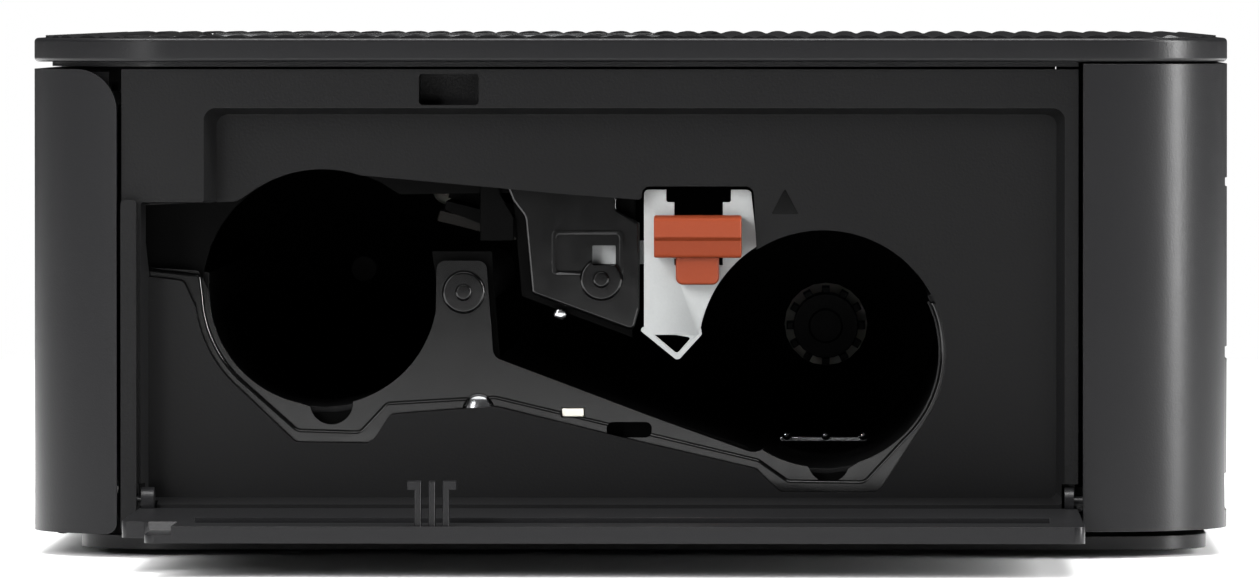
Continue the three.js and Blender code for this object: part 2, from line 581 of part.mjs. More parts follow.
function bayUpperPlate() {
  const corners = [
    [-14.6, 42.6],
    [-12.95, 38.65],
    [-11.6, 36.85, 0.6],
    [-10.8, 28.35, 0.6],
    [0.46, 24.2, 0.6],
    [1.15, 26.7, 0.5],
    [1.15, 36.2],
    [-1.4, 37.7],
    [-1.6, 42.6],
  ];
  const plate = alongX(corners, 80.5, 82.2);
  const border = alongX(rectangle(-8.6, -0.6, 30.4, 35.4, 0.6), 82.1, 82.45, [rectangle(-8, -1.2, 31, 34.8, 0.4)]);
  const boss = join(rodX(HEAD_PIVOT, 2.4, 82, 83, 20), rodX(HEAD_PIVOT, 1, 82.9, 83.5, 16));
  const bore = rodX(HEAD_PIVOT, 1.7, 78, SHAFT_END + 0.2);
  return cut(join(plate, border, boss), bore, box(78, 84, -4.1, -1.5, 31.5, 33.7));
}

place("bay_lower_frame", bayLowerFrame(), GLOSS_BLACK);
place("bay_upper_plate", bayUpperPlate(), GLOSS_BLACK);

// ---------------------------------------------------------------- steel chassis
function rightChassisPlate() {
  const cassettePassage = [
    ...arc(SUPPLY_AXIS, 13.6, 180, 52, 12),
    [-13, 39.5],
    [-12, 28],
    [0.3, 23.4],
    [0.7, 42],
    [14.2, 42],
    ...arc(TAKE_UP_AXIS, 13.6, 122, -130, 24),
    [-14.4, 20.2],
    [-15.3, 33],
    [-22, 33],
    ...arc(SUPPLY_AXIS, 13.6, 345, 185, 14),
  ];
  const plate = alongX(rectangle(-57, 46, BASE_TOP + GAP, 50, 2), RIGHT_PLATE_X, RIGHT_PLATE_X + PLATE, [cassettePassage]);
  const flange = box(68, RIGHT_PLATE_X + 0.2, -50, 40, BASE_TOP + GAP, BASE_TOP + GAP + PLATE);
  return cut(
    join(plate, flange),
    rodX(PLATEN_AXIS, 1.7, 77, 81),
    rodX(FEED_AXIS, 2.2, 77, 81),
    rodX(PINCH_AXIS, 1.5, 77, 81),
    rodX(HEAD_PIVOT, 1.7, 77, 81),
  );
}

function leftChassisPlate() {
  const plate = alongX(rectangle(-57, 46, BASE_TOP + GAP, 50, 2), LEFT_PLATE_X, LEFT_PLATE_X + PLATE);
  const flange = box(LEFT_PLATE_X + 1, -26, -50, 40, BASE_TOP + GAP, BASE_TOP + GAP + PLATE);
  const holes = [
    [PLATEN_AXIS, 1.7],
    [FEED_AXIS, 2.2],
    [PINCH_AXIS, 1.5],
    [HEAD_PIVOT, 1.7],
    [SUPPLY_AXIS, 1.9],
    [TAKE_UP_AXIS, 5],
    [IDLER_AXIS, 1.8],
    [PINION_AXIS, 2],
  ];
  return cut(join(plate, flange), ...holes.map(([axis, radius]) => rodX(axis, radius, -38, -35, 20)));
}

place("right_chassis_plate", rightChassisPlate(), BLACK_STEEL);
place("left_chassis_plate", leftChassisPlate(), BLACK_STEEL);
place("chassis_bridge", box(-35.7, 77.9, -26, 24, 45.4, 46.4), SHEET_STEEL);

const STANDOFFS = [[-38, 9], [-40, 45], [41, 43], [42, 7]];
function gearboxPlate() {
  const plate = alongX(rectangle(-44, 45, 4, 48, 3), -43.4, -42.2);
  const posts = STANDOFFS.map((at) => rodX(at, 2, -42.4, LEFT_PLATE_X - GAP, 12));
  const idlerPost = rodX(IDLER_AXIS, 1.4, -42.4, LEFT_PLATE_X - GAP, 12);
  const holes = [[PLATEN_AXIS, 1.7], [FEED_AXIS, 2.2], [TAKE_UP_AXIS, 2.3], [PINION_AXIS, 4], [SUPPLY_AXIS, 1.9]];
  const holeTools = holes.map(([axis, radius]) => rodX(axis, radius, -45, -41, 20));
  return join(cut(join(plate, ...posts), ...holeTools), idlerPost);
}
place("gearbox_plate", gearboxPlate(), SHEET_STEEL);

// ---------------------------------------------------------------- troughs, guides and the ejector
const BAY = { x0: -34.5, x1: 77.6 };

function frontSpoolTrough() {
  const skin = [...arc(SUPPLY_AXIS, 13, 176, 344, 16), ...arc(SUPPLY_AXIS, 14.2, 344, 176, 16)];
  const lip = [[-48.6, 29], [-46.9, 29.4], [-46.9, 30.6], [-52, 31.2], [-52, 30]];
  return join(alongX(skin, BAY.x0, BAY.x1), alongX(lip, BAY.x0, BAY.x1));
}

function rearSpoolTrough() {
  const skin = [
    [-14.9, 20.7],
    [13.9, 10.3],
    ...arc(TAKE_UP_AXIS, 13.1, 242, 388, 14),
    ...arc(TAKE_UP_AXIS, 14.3, 388, 236, 14),
    [-14.9, 19.4],
  ];
  return alongX(skin, BAY.x0, BAY.x1);
}
place("front_spool_trough", frontSpoolTrough(), PANEL_BLACK);
place("rear_spool_trough", rearSpoolTrough(), PANEL_BLACK);

function paperGuide() {
  const tray = box(PAPER_SLOT.x0 + 1, 67.5, -60, 58, 3.4, 4.2);
  const ribs = Array.from({ length: 6 }, (_, i) => box(-24 + 17 * i, -23 + 17 * i, -58, 56, 4.1, 6.2));
  const stop = box(PAPER_SLOT.x0 + 1, 67.5, 56.8, 58, 4, 19);
  return join(tray, ...ribs, stop);
}
place("paper_guide", paperGuide(), PANEL_BLACK);

function ejectorHousing() {
  const corners = [
    [1.65, 39.9, 0.5],
    [1.65, 23.8, 0.5],
    [8.3, 23.8, 0.4],
    ...arc(TAKE_UP_AXIS, 13.9, 169, 122, 6),
    [13.5, 39.9, 0.5],
  ];
  const loop = [[0.7, 24.7], [5.4, 20.9], [8.4, 24.2]];
  const eye = [[2.2, 24.3], [5.3, 21.7], [6.9, 23.5]];
  const plate = alongX(corners, 80.7, 82.6);
  const foot = cut(alongX(loop, 81, 82.6), alongX(eye, 80, 83));
  const window = box(80, 83, 5, 10.4, 31.6, 41);
  const notch = box(80, 83, 4.1, 11.3, 38.5, 41);
  const tongue = join(box(79.7, 80.2, -5, 3, 31.6, 34.2), box(79.7, 81, 1.8, 3, 31.6, 34.2)); // shows in the upper plate's hole
  return join(cut(join(plate, foot), window, notch), tongue);
}
place("ejector_housing", ejectorHousing(), NATURAL_PLASTIC);

function ejectLever() {
  const { bottom, top, front } = LEVER;
  const profile = [[83, bottom], [front - 1.1, bottom, 0.4], [front - 0.5, 34.3, 0.3], [front, 36.8, 0.4], [front - 0.8, top], [83, top]];
  const head = alongY(profile, 2.8, 12.5);
  const tab = alongX([[5.2, 29.4, 0.7], [10, 29.4, 0.7], [10, bottom + 0.2], [5.2, bottom + 0.2]], 83, front - 2.2);
  const stem = box(76, 83.2, 5.5, 9.9, 32.6, 36.4);
  const hookArm = box(73, 77, 2.6, 9.9, 34, 35.6);
  return join(head, tab, stem, hookArm);
}
place("eject_lever", ejectLever(), ORANGE);
place("eject_spring", coil(1.4, 7.2, 7, 0.3), STEEL).position.set(75, 4.4, 26);

// A springy steel strip across the floor of the rear spool trough steadies the cassette.
place("spool_leaf_spring", box(29, 32, 16.4, 26.5, 10.1, 10.7), STEEL);

// ---------------------------------------------------------------- gears
// The outline of a stub-toothed involute gear, three points to a flank, with tooth 0 on the +Y side.
function gearOutline(teeth) {
  const pitch = pitchRadius(teeth);
  const base = pitch * Math.cos(THREE.MathUtils.degToRad(20));
  const involute = (radius) => {
    const angle = Math.acos(Math.min(1, base / radius));
    return Math.tan(angle) - angle;
  };
  const halfTooth = (radius) =>
    Math.PI / (2 * teeth) - GEAR.backlash / (2 * pitch) + involute(pitch) - involute(Math.max(radius, base));
  const radii = [pitch - GEAR.dedendum, pitch, pitch + GEAR.addendum];
  const flank = radii.map((radius) => [radius, halfTooth(radius)]);
  const tooth = [...flank.map(([radius, half]) => [radius, -half]), ...flank.reverse()];
  return Array.from({ length: teeth }, (_, i) =>
    tooth.map(([radius, angle]) => {
      const turned = angle + (2 * Math.PI * i) / teeth;
      return [radius * Math.cos(turned), radius * Math.sin(turned)];
    }),
  ).flat();
}

// The turn that puts a gap of the driven gear where a tooth of its driver points.
function meshingPhase(driver, driverTeeth, driverPhase, driven, drivenTeeth) {
  const bearing = Math.atan2(driven[1] - driver[1], driven[0] - driver[0]);
  const pitches = ((bearing - driverPhase) * driverTeeth) / (2 * Math.PI);
  return bearing + Math.PI - ((0.5 - pitches) * 2 * Math.PI) / drivenTeeth;
}

// A gear turns on its own axis: a bore takes its shaft, and the motor's pinion carries the shaft itself.
function placeGear(name, axis, teeth, bore, phase) {
  const blank = alongX(gearOutline(teeth), 0, GEAR.width);
  const shaft = rodX([0, 0], 1, -6, 4, 12);
  const gear = bore ? cut(blank, rodX([0, 0], bore, -1, 5)) : join(blank, shaft);
  const mesh = place(name, gear, GEAR_PLASTIC);
  mesh.position.set(GEAR.x, ...axis);
  mesh.rotation.x = phase;
}

const platenPhase = meshingPhase(PINION_AXIS, TEETH.pinion, 0, PLATEN_AXIS, TEETH.platen);
const feedPhase = meshingPhase(PLATEN_AXIS, TEETH.platen, platenPhase, FEED_AXIS, TEETH.feed);
const idlerPhase = meshingPhase(FEED_AXIS, TEETH.feed, feedPhase, IDLER_AXIS, TEETH.idler);
const takeUpPhase = meshingPhase(IDLER_AXIS, TEETH.idler, idlerPhase, TAKE_UP_AXIS, TEETH.takeUp);
placeGear("motor_pinion", PINION_AXIS, TEETH.pinion, 0, 0);
placeGear("platen_gear", PLATEN_AXIS, TEETH.platen, 1.6, platenPhase);
placeGear("feed_gear", FEED_AXIS, TEETH.feed, 2.1, feedPhase);
placeGear("idler_gear", IDLER_AXIS, TEETH.idler, 1.7, idlerPhase);
placeGear("take_up_gear", TAKE_UP_AXIS, TEETH.takeUp, 2.3, takeUpPhase);

// ---------------------------------------------------------------- motor, shafts and rollers
function driveMotor() {
  const can = rodX(PINION_AXIS, 12, -66, -45.2, 24);
  const nose = rodX(PINION_AXIS, 3.6, -45.4, -42.4, 20);
  const flange = box(-45.2, -43.7, PINION_AXIS[0] - 14, PINION_AXIS[0] + 14, PINION_AXIS[1] - 6, PINION_AXIS[1] + 6);
  return cut(join(can, nose, flange), rodX(PINION_AXIS, 1.3, -48, -40, 12));
}
place("drive_motor", driveMotor(), STEEL);

const ROLLERS = { x0: -28, x1: 72 };
place("platen_shaft", rodX(PLATEN_AXIS, 1.4, -43, SHAFT_END), STEEL);
const tyre = rodX(PLATEN_AXIS, 2.75, ROLLERS.x0, ROLLERS.x1, 20);
place("platen_roller", cut(tyre, rodX(PLATEN_AXIS, 1.6, -30, 74)), RUBBER);

// The feed roller's free end is a bright dome that shows beside the bay frame.
const dome = new THREE.SphereGeometry(1.9, 16, 8).rotateZ(-Math.PI / 2);
const domeEnd = solid(dome.scale(0.5, 1, 1).translate(82, ...FEED_AXIS));
const feedShaft = rodX(FEED_AXIS, 1.9, -43, 82);
place("feed_roller", join(feedShaft, domeEnd, rodX(FEED_AXIS, FEED_ROLLER, ROLLERS.x0, ROLLERS.x1, 20)), STEEL);
const pinchCore = rodX(PINCH_AXIS, 1.2, -37, 79.2, 12);
place("pinch_roller", join(pinchCore, rodX(PINCH_AXIS, PINCH_ROLLER, ROLLERS.x0, ROLLERS.x1, 16)), RUBBER);

// ---------------------------------------------------------------- spool drives
const supplyDisc = rodX(SUPPLY_AXIS, 6, -41, -38, 24);
place("supply_spindle", join(rodX(SUPPLY_AXIS, 1.6, -43, -30.5), supplyDisc), PANEL_BLACK);

function takeUpSpindle() {
  const splines = Array.from({ length: 12 }, (_, i) => {
    const spline = box(-35.5, -29, 3.6, 4.7, -0.45, 0.45);
    return spline.rotate([30 * i, 0, 0]).translate([0, ...TAKE_UP_AXIS]);
  });
  return join(rodX(TAKE_UP_AXIS, 2, -43, -27.5), rodX(TAKE_UP_AXIS, 3.9, -37.7, -28.5, 24), ...splines);
}
place("take_up_spindle", takeUpSpindle(), PANEL_BLACK);

// ---------------------------------------------------------------- thermal head, built lowered and hung raised
const headUnit = new THREE.Group();
headUnit.position.set(0, ...HEAD_PIVOT);
headUnit.rotation.x = -HEAD_LIFT;
printer.add(headUnit);

function headArm() {
  const cheek = [[-19, 3.1, 0.5], [-8, 1.7], ...arc([0, 0], 2.7, 225, 405, 8), [-6, 4.1], [-19, 4.1]];
  const cheeks = [[-31, -29.8], [73.8, 75]].map(([x0, x1]) => alongX(cheek, x0, x1));
  const bar = box(-30, 74, -19, -7, 3.1, 4.1);
  return cut(join(...cheeks, bar), rodX([0, 0], 1.7, -33, 77));
}
place("head_arm", headArm(), BLACK_STEEL, headUnit);
place("thermal_head", box(-27, 71, -19.6, -10.4, 1.6, 2.8), CERAMIC, headUnit);
const fins = Array.from({ length: 5 }, (_, i) => box(-27, 71, -19 + 2.4 * i, -18.1 + 2.4 * i, 5.3, 8.2));
place("heatsink", join(box(-27, 71, -19, -8.5, 4.4, 5.5), ...fins), BLACK_STEEL, headUnit);
place("head_pivot_shaft", rodX(HEAD_PIVOT, 1.4, -41, SHAFT_END), STEEL);
const bracket = alongX([[-16.6, 34.2], [-12.9, 34.2], [-12.9, 36.8], [-14.4, 39.4], [-14.8, 42.4], [-16.6, 42.4]], 79.7, 80.3);
place("head_end_bracket", bracket, BLACK_STEEL);

// ---------------------------------------------------------------- interlock switch behind the latch slot
const switchBody = join(box(80.2, 83.6, -35, -26, 50.8, 53), box(80.6, 81, -26.2, -17, 51.8, 52.2));
place("interlock_switch", switchBody, PANEL_BLACK);

export default printer;
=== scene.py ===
# %% [markdown]
# # A compact photo printer, its cassette bay open
# The printer is a low box of satin black shells. Its right-hand side holds a recessed bay with two round
# spool cavities, a pale ejector housing with an orange lever, and a door that lies folded open.
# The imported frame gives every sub-part's place, in metres; this lesson gives each one its finished shape
# and its finish.

# %% Load the frame
import json
import math

import bpy
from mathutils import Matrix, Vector


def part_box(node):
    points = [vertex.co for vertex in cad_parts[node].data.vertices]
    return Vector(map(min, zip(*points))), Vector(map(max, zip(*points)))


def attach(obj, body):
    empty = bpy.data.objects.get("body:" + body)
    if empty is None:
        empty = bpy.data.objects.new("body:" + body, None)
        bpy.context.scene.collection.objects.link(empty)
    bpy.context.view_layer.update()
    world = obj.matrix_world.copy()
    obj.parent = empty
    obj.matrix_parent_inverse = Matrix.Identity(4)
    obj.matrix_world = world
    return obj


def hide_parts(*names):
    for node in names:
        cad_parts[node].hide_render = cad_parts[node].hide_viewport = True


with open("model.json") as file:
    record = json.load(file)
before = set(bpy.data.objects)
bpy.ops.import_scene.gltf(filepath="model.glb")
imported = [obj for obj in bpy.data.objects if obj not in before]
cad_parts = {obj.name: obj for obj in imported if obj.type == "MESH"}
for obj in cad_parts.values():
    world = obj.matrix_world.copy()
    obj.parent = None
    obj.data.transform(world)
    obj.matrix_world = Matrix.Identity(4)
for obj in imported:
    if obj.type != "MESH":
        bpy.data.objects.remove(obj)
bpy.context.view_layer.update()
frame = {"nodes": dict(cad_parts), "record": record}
NODES = frame["nodes"]
MM = 0.001

# %% [markdown]
# ## Shader maths as plain expressions
# A finish is mostly arithmetic on noise: more of this there, less of that here. Nodes could be wired one
# by one, but a small class that wraps a socket and overloads the operators lets each finish be read as a
# formula. Every expression adds its Math nodes to the material that is being made.

# %% Sockets that can be added and multiplied


class Value:
    """A number that changes over a surface: the output socket that carries it."""

    def __init__(self, maker, socket):
        self.maker = maker
        self.socket = socket

    def _math(self, operation, *inputs):
        node = self.maker.node("ShaderNodeMath", {"operation": operation}, dict(enumerate(inputs)))
        return Value(self.maker, node.outputs[0])

    def __add__(self, other):
        return self._math("ADD", self, other)

    __radd__ = __add__

    def __mul__(self, other):
        return self._math("MULTIPLY", self, other)

    __rmul__ = __mul__

    def __sub__(self, other):
        return self._math("SUBTRACT", self, other)

    def __rsub__(self, other):
        return self._math("SUBTRACT", other, self)

    def above(self, edge, softness):
        """0 below the edge, 1 above it, with a soft step of that width."""
        settings = {"interpolation_type": "SMOOTHSTEP"}
        low, high = edge - softness / 2, edge + softness / 2
        node = self.maker.node("ShaderNodeMapRange", settings, {0: self, 1: low, 2: high})
        return Value(self.maker, node.outputs[0])


# %% [markdown]
# ## One maker for every finish
# Each finish is a Principled shader whose steady numbers are set on its own sockets. Only colour,
# roughness and bump are fed by nodes, because those are what changes over a moulded or ground surface.
# Patterns read Object coordinates: every piece sits at the origin, so they are the printer's own metres.

# %% A material maker
SOCKETS = {
    "specular_ior_level": "Specular IOR Level",
    "coat_weight": "Coat Weight",
    "coat_roughness": "Coat Roughness",
}


class Finish:
    """A material under construction: the Principled shader, its output and the nodes that feed it."""

    def __init__(self, name, **steady):
        self.material = bpy.data.materials.new(name)
        self.material.use_nodes = True
        self.tree = self.material.node_tree
        self.shader = self.tree.nodes["Principled BSDF"]
        for socket, value in steady.items():
            self.shader.inputs[SOCKETS.get(socket, socket.title())].default_value = value
        self.place = self.node("ShaderNodeTexCoord", {}, {}).outputs["Object"]

    def node(self, kind, settings, inputs):
        made = self.tree.nodes.new(kind)
        for name, value in settings.items():
            setattr(made, name, value)
        for key, value in inputs.items():
            source = value.socket if isinstance(value, Value) else value
            if isinstance(source, bpy.types.NodeSocket):
                self.tree.links.new(source, made.inputs[key])
            else:
                made.inputs[key].default_value = source
        return made

    def stretched(self, scale):
        """The object's coordinates, scaled along each axis."""
        return self.node("ShaderNodeMapping", {}, {"Vector": self.place, "Scale": scale}).outputs[0]

    def noise(self, size_mm, detail=3.0, along=None):
        """Cloudy noise whose patches are about size_mm across."""
        vector = self.stretched(along) if along else self.place
        values = {"Vector": vector, "Scale": 1.0 / (size_mm * MM), "Detail": detail}
        return Value(self, self.node("ShaderNodeTexNoise", {}, values).outputs["Fac"])

    def colour(self, dark, light, mask):
        mix = self.node("ShaderNodeMix", {"data_type": "RGBA"}, {0: mask, 6: (*dark, 1), 7: (*light, 1)})
        self.tree.links.new(mix.outputs[2], self.shader.inputs["Base Color"])

    def roughness(self, value):
        self.tree.links.new(value.socket, self.shader.inputs["Roughness"])

    def bump(self, height, depth_mm):
        values = {"Height": height, "Distance": depth_mm * MM, "Strength": 1.0}
        node = self.node("ShaderNodeBump", {}, values)
        self.tree.links.new(node.outputs[0], self.shader.inputs["Normal"])


# %% [markdown]
# ## Moulded plastics
# The shells are satin black plastic with a fine spark-eroded grain; the bay frame is polished. The grain
# is under a tenth of a millimetre deep, so it is bump and roughness, never geometry. A wide, faint noise
# moves the roughness a little, as handling and uneven texture do. The four specular levels below 0.5 keep
# the blacks deep on a white stage.

# %% Black plastics


def moulded(name, dark, light, rough, grain_mm, depth_mm, **steady):
    finish = Finish(name, **steady)
    grain = finish.noise(grain_mm, 2.0)
    cloud = finish.noise(35, 3.0)
    finish.colour(dark, light, 0.5 * grain + 0.5 * cloud)
    finish.roughness(rough + 0.08 * (cloud - 0.5) + 0.06 * (grain - 0.5))
    finish.bump(grain, depth_mm)
    return finish.material


DULL = {"specular_ior_level": 0.17}
MATT = {"specular_ior_level": 0.11}
SHINY = {"specular_ior_level": 0.4}
FLAT = {"specular_ior_level": 0.04}
FINISHES = {
    "satin_plastic": moulded(
        "satin_black", (0.005, 0.005, 0.0055), (0.009, 0.009, 0.0095), 0.31, 0.22, 0.012, **DULL
    ),
    "panel_plastic": moulded(
        "textured_black", (0.004, 0.004, 0.0042), (0.008, 0.008, 0.0082), 0.40, 0.30, 0.022, **MATT
    ),
    "gloss_plastic": moulded(
        "polished_black", (0.001, 0.001, 0.001), (0.002, 0.002, 0.0021), 0.14, 2.5, 0.003, **SHINY
    ),
    "button_plastic": moulded(
        "button_grey", (0.020, 0.021, 0.022), (0.030, 0.031, 0.033), 0.45, 0.25, 0.010
    ),
    "rubber": moulded("foot_rubber", (0.008, 0.008, 0.008), (0.016, 0.016, 0.016), 0.80, 0.4, 0.03, **DULL),
    "natural_plastic": moulded("natural_grey", (0.30, 0.31, 0.31), (0.35, 0.36, 0.36), 0.42, 0.3, 0.008),
    "gear_plastic": moulded("ivory_acetal", (0.62, 0.60, 0.53), (0.72, 0.70, 0.63), 0.40, 0.3, 0.008),
    "orange_plastic": moulded(
        "lever_orange", (0.175, 0.030, 0.011), (0.205, 0.039, 0.015), 0.36, 0.35, 0.010, **DULL
    ),
}
print("moulded finishes:", len(FINISHES))

# %% [markdown]
# ## Metals, board, glass and ceramic
# Sheet steel has a directional rolling grain, so its noise is stretched along one axis. Turned steel is
# nearly mirror-like with faint rings. The circuit board's solder mask is a glossy green with darker traces.
# The head's ceramic and the bay's black steel are darker than their own colours: painted shade for the
# dark inside of the bay.

# %% Metals and the rest


def metal(name, dark, light, rough, along):
    finish = Finish(name, metallic=1.0)
    streak = finish.noise(1.2, 4.0, along)
    stain = finish.noise(18, 3.0)
    finish.colour(dark, light, 0.6 * streak + 0.4 * stain)
    finish.roughness(rough + 0.16 * (streak - 0.5) + 0.1 * (stain - 0.5))
    finish.bump(streak, 0.004)
    return finish.material


def circuit_board():
    finish = Finish("green_board")
    tracks = finish.noise(2.5, 1.0).above(0.52, 0.02)
    finish.colour((0.006, 0.050, 0.024), (0.012, 0.095, 0.045), tracks)
    finish.roughness(0.28 + 0.15 * tracks)
    finish.bump(tracks, 0.03)
    return finish.material


def screen_glass():
    finish = Finish("screen_glass", coat_weight=1.0, coat_roughness=0.02)
    # a faint lighter noise in the glass's colour is a painted sheen; the same noise also varies its roughness
    painted_sheen = finish.noise(40, 2.0)
    finish.colour((0.006, 0.007, 0.009), (0.010, 0.011, 0.014), painted_sheen)
    finish.roughness(0.05 + 0.03 * painted_sheen)
    return finish.material


FINISHES.update(
    steel=metal("ground_steel", (0.50, 0.51, 0.53), (0.72, 0.73, 0.75), 0.22, (1, 8, 8)),
    sheet_steel=metal("zinc_steel", (0.24, 0.25, 0.26), (0.36, 0.37, 0.38), 0.38, (1, 1, 9)),
    # a dark ceramic, made darker still as painted shade for the dark inside of the bay
    ceramic=moulded(
        "head_ceramic_with_painted_shade", (0.004, 0.0035, 0.003), (0.007, 0.006, 0.005), 0.3, 1.2, 0.004, **MATT
    ),
    # black chassis steel, its colour pushed almost to zero as painted shade for the dark inside of the bay
    black_steel=moulded(
        "black_steel_with_painted_shade", (0.0008, 0.0008, 0.0008), (0.0016, 0.0016, 0.0016), 0.6, 0.8, 0.006, **FLAT
    ),
    circuit_board=circuit_board(),
    screen_glass=screen_glass(),
)
SLOT_OF = {row["node"]: row["material_slot"] for row in frame["record"]["subparts"]}
for name, node in NODES.items():
    node.data.materials.clear()
    node.data.materials.append(FINISHES[SLOT_OF[name]])
print("finishes:", len(FINISHES))

# %% [markdown]
# ## Working on one piece at a time
# Blender's mesh operators act on whatever is selected, so each piece starts from an empty selection. A
# flat moulding starts as a disc with one vertex for each point of its outline, which is moved onto the
# outline and extruded. A seam needs no drawing: it is where two separate pieces meet.

# %% Helpers for modelling with operators


def deselect_everything():
    if bpy.context.mode != "OBJECT":
        bpy.ops.object.mode_set(mode="OBJECT")
    bpy.ops.object.select_all(action="DESELECT")


def only(piece):
    """Make one piece the selected and active one."""
    deselect_everything()
    piece.select_set(True)
    bpy.context.view_layer.objects.active = piece
    return piece


def arc(centre, radius, start, end, step=4.0):
    """Points of an arc in degrees, a point every few degrees."""
    count = max(2, round(abs(end - start) / step))
    angles = [math.radians(start + (end - start) * i / count) for i in range(count + 1)]
    return [(centre[0] + radius * math.cos(a), centre[1] + radius * math.sin(a)) for a in angles]


def rounded(corners, step=9.0):
    """An outline from (u, v) or (u, v, radius) corners, each radius drawn as an arc."""
    points = []
    for i, (u, v, *rest) in enumerate(corners):
        radius = rest[0] if rest else 0
        if not radius:
            points.append((u, v))
            continue
        corner = Vector((u, v))
        into = (Vector(corners[i - 1][:2]) - corner).normalized()
        out = (Vector(corners[(i + 1) % len(corners)][:2]) - corner).normalized()
        half = into.angle(out) / 2
        middle = corner + (into + out).normalized() * (radius / math.sin(half))
        first = corner + into * (radius / math.tan(half)) - middle
        turn = math.pi - 2 * half
        count = max(2, round(math.degrees(turn) / step))
        sign = 1 if first.cross(corner - middle) > 0 else -1
        start = math.atan2(first.y, first.x)
        spokes = [start + sign * turn * k / count for k in range(count + 1)]
        points += [(middle.x + radius * math.cos(a), middle.y + radius * math.sin(a)) for a in spokes]
    return points


def box_outline(u0, u1, v0, v1, radius=0):
    return rounded([(u0, v0, radius), (u1, v0, radius), (u1, v1, radius), (u0, v1, radius)])


AXES = {"X": lambda u, v, w: (w, u, v), "Y": lambda u, v, w: (u, w, v), "Z": lambda u, v, w: (u, v, w)}


def slab(name, axis, outline, low, high):
    """A flat moulding: an outline in millimetres, extruded along an axis from low to high."""
    deselect_everything()
    bpy.ops.mesh.primitive_circle_add(vertices=len(outline), radius=1, fill_type="NGON")
    piece = bpy.context.object
    piece.name = name
    for vertex, (u, v) in zip(piece.data.vertices, outline):
        vertex.co = Vector(AXES[axis](u, v, low)) * MM
    bpy.ops.object.mode_set(mode="EDIT")
    bpy.ops.mesh.select_all(action="SELECT")
    run = Vector(AXES[axis](0, 0, high - low)) * MM
    bpy.ops.mesh.extrude_region_move(TRANSFORM_OT_translate={"value": run})
    bpy.ops.mesh.select_all(action="SELECT")
    bpy.ops.mesh.normals_make_consistent(inside=False)
    bpy.ops.object.mode_set(mode="OBJECT")
    return piece


def block(name, x0, x1, y0, y1, z0, z1):
    return slab(name, "Z", [(x0, y0), (x1, y0), (x1, y1), (x0, y1)], z0, z1)


def rod(name, axis, centre, radius, low, high, sides=48):
    return slab(name, axis, arc(centre, radius, 0, 360 - 360 / sides, 360 / sides), low, high)


def apply_modifier(piece, kind, **settings):
    only(piece)
    modifier = piece.modifiers.new(kind.title(), kind)
    for key, value in settings.items():
        setattr(modifier, key, value)
    bpy.ops.object.modifier_apply(modifier=modifier.name)


def combine(piece, tool, operation):
    """Join a piece with a tool, cut the tool out of it, or keep what they share. The tool is used up."""
    apply_modifier(piece, "BOOLEAN", object=tool, operation=operation, solver="EXACT")
    bpy.data.objects.remove(tool)
    return piece


def cut(piece, *tools):
    for tool in tools:
        combine(piece, tool, "DIFFERENCE")
    return piece


def add(piece, *tools):
    for tool in tools:
        combine(piece, tool, "UNION")
    return piece


def soften(piece, radius, segments=2, angle=32):
    """Round every sharp edge by a small radius, as a mould does, after merging double vertices and near-flat faces.
    """
    only(piece)
    bpy.ops.object.mode_set(mode="EDIT")
    bpy.ops.mesh.select_all(action="SELECT")
    bpy.ops.mesh.remove_doubles(threshold=0.004 * MM)
    bpy.ops.mesh.dissolve_limited(angle_limit=math.radians(0.4))
    bpy.ops.object.mode_set(mode="OBJECT")
    settings = {"width": radius * MM, "segments": segments, "limit_method": "ANGLE"}
    settings.update(angle_limit=math.radians(angle), use_clamp_overlap=True, miter_outer="MITER_ARC")
    apply_modifier(piece, "BEVEL", **settings)
    return piece


def fit(piece, body, *nodes, finish=None):
    """Hang a finished piece on its body, in place of its CAD node, with its node's finish."""
    only(piece)
    bpy.ops.object.shade_smooth_by_angle(angle=math.radians(35))
    apply_modifier(piece, "WEIGHTED_NORMAL", keep_sharp=True, weight=100)
    slot = finish or SLOT_OF[nodes[0]]
    piece.data.materials.clear()
    piece.data.materials.append(FINISHES[slot])
    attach(piece, body)
    if nodes:
        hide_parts(*nodes)
    print(piece.name, len(piece.data.polygons), "faces")
    return piece


def corners_mm(node):
    """A CAD node's box as (x0, x1), (y0, y1), (z0, z1) in millimetres."""
    low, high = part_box(node)
    return [(low[i] / MM, high[i] / MM) for i in range(3)]


# %% [markdown]
# ## The plan that the shells share
# Lid, front cover and rear cover all follow one rounded rectangle seen from above. Its size is read from
# the lid, so the shells can't drift apart, and its corners are drawn finely enough to carry a clean
# highlight down each vertical edge.

# %% The shared plan
(X0, X1), (Y0, Y1), (_, LID_TOP) = corners_mm("top_lid")
LID_LOW = LID_TOP - 3.0
PLAN_RADIUS = 16.0


def plan(inset=0.0):
    x0, x1, y0, y1 = X0 + inset, X1 - inset, Y0 + inset, Y1 - inset
    corners = [(x0, y0), (x1, y0), (x1, y1), (x0, y1)]
    return rounded([(x, y, PLAN_RADIUS - inset) for x, y in corners], step=3.0)


print("plan:", round(X1 - X0, 1), "by", round(Y1 - Y0, 1), "mm")

# %% [markdown]
# ## The lid
# The lid is a shallow tray with a soft top edge and a quilted top that its rim frames. The quilting is
# real relief: it also shows against the light as a row of small bumps. A grid whose squares are inset
# one by one and lifted gives every pad its sloping sides in one step, and a boolean with the plan trims
# the pads to the rim and to the console's opening.

# %% Top lid
RIM_TOP = LID_TOP - 0.35
PAD = 2.8
(CX0, CX1), (CY0, CY1), _ = corners_mm("control_panel")


def console_hole(name, grow, low, high):
    return slab(name, "Z", box_outline(CX0 - grow, CX1 + grow, CY0 - grow, CY1 + grow, 5 + grow), low, high)


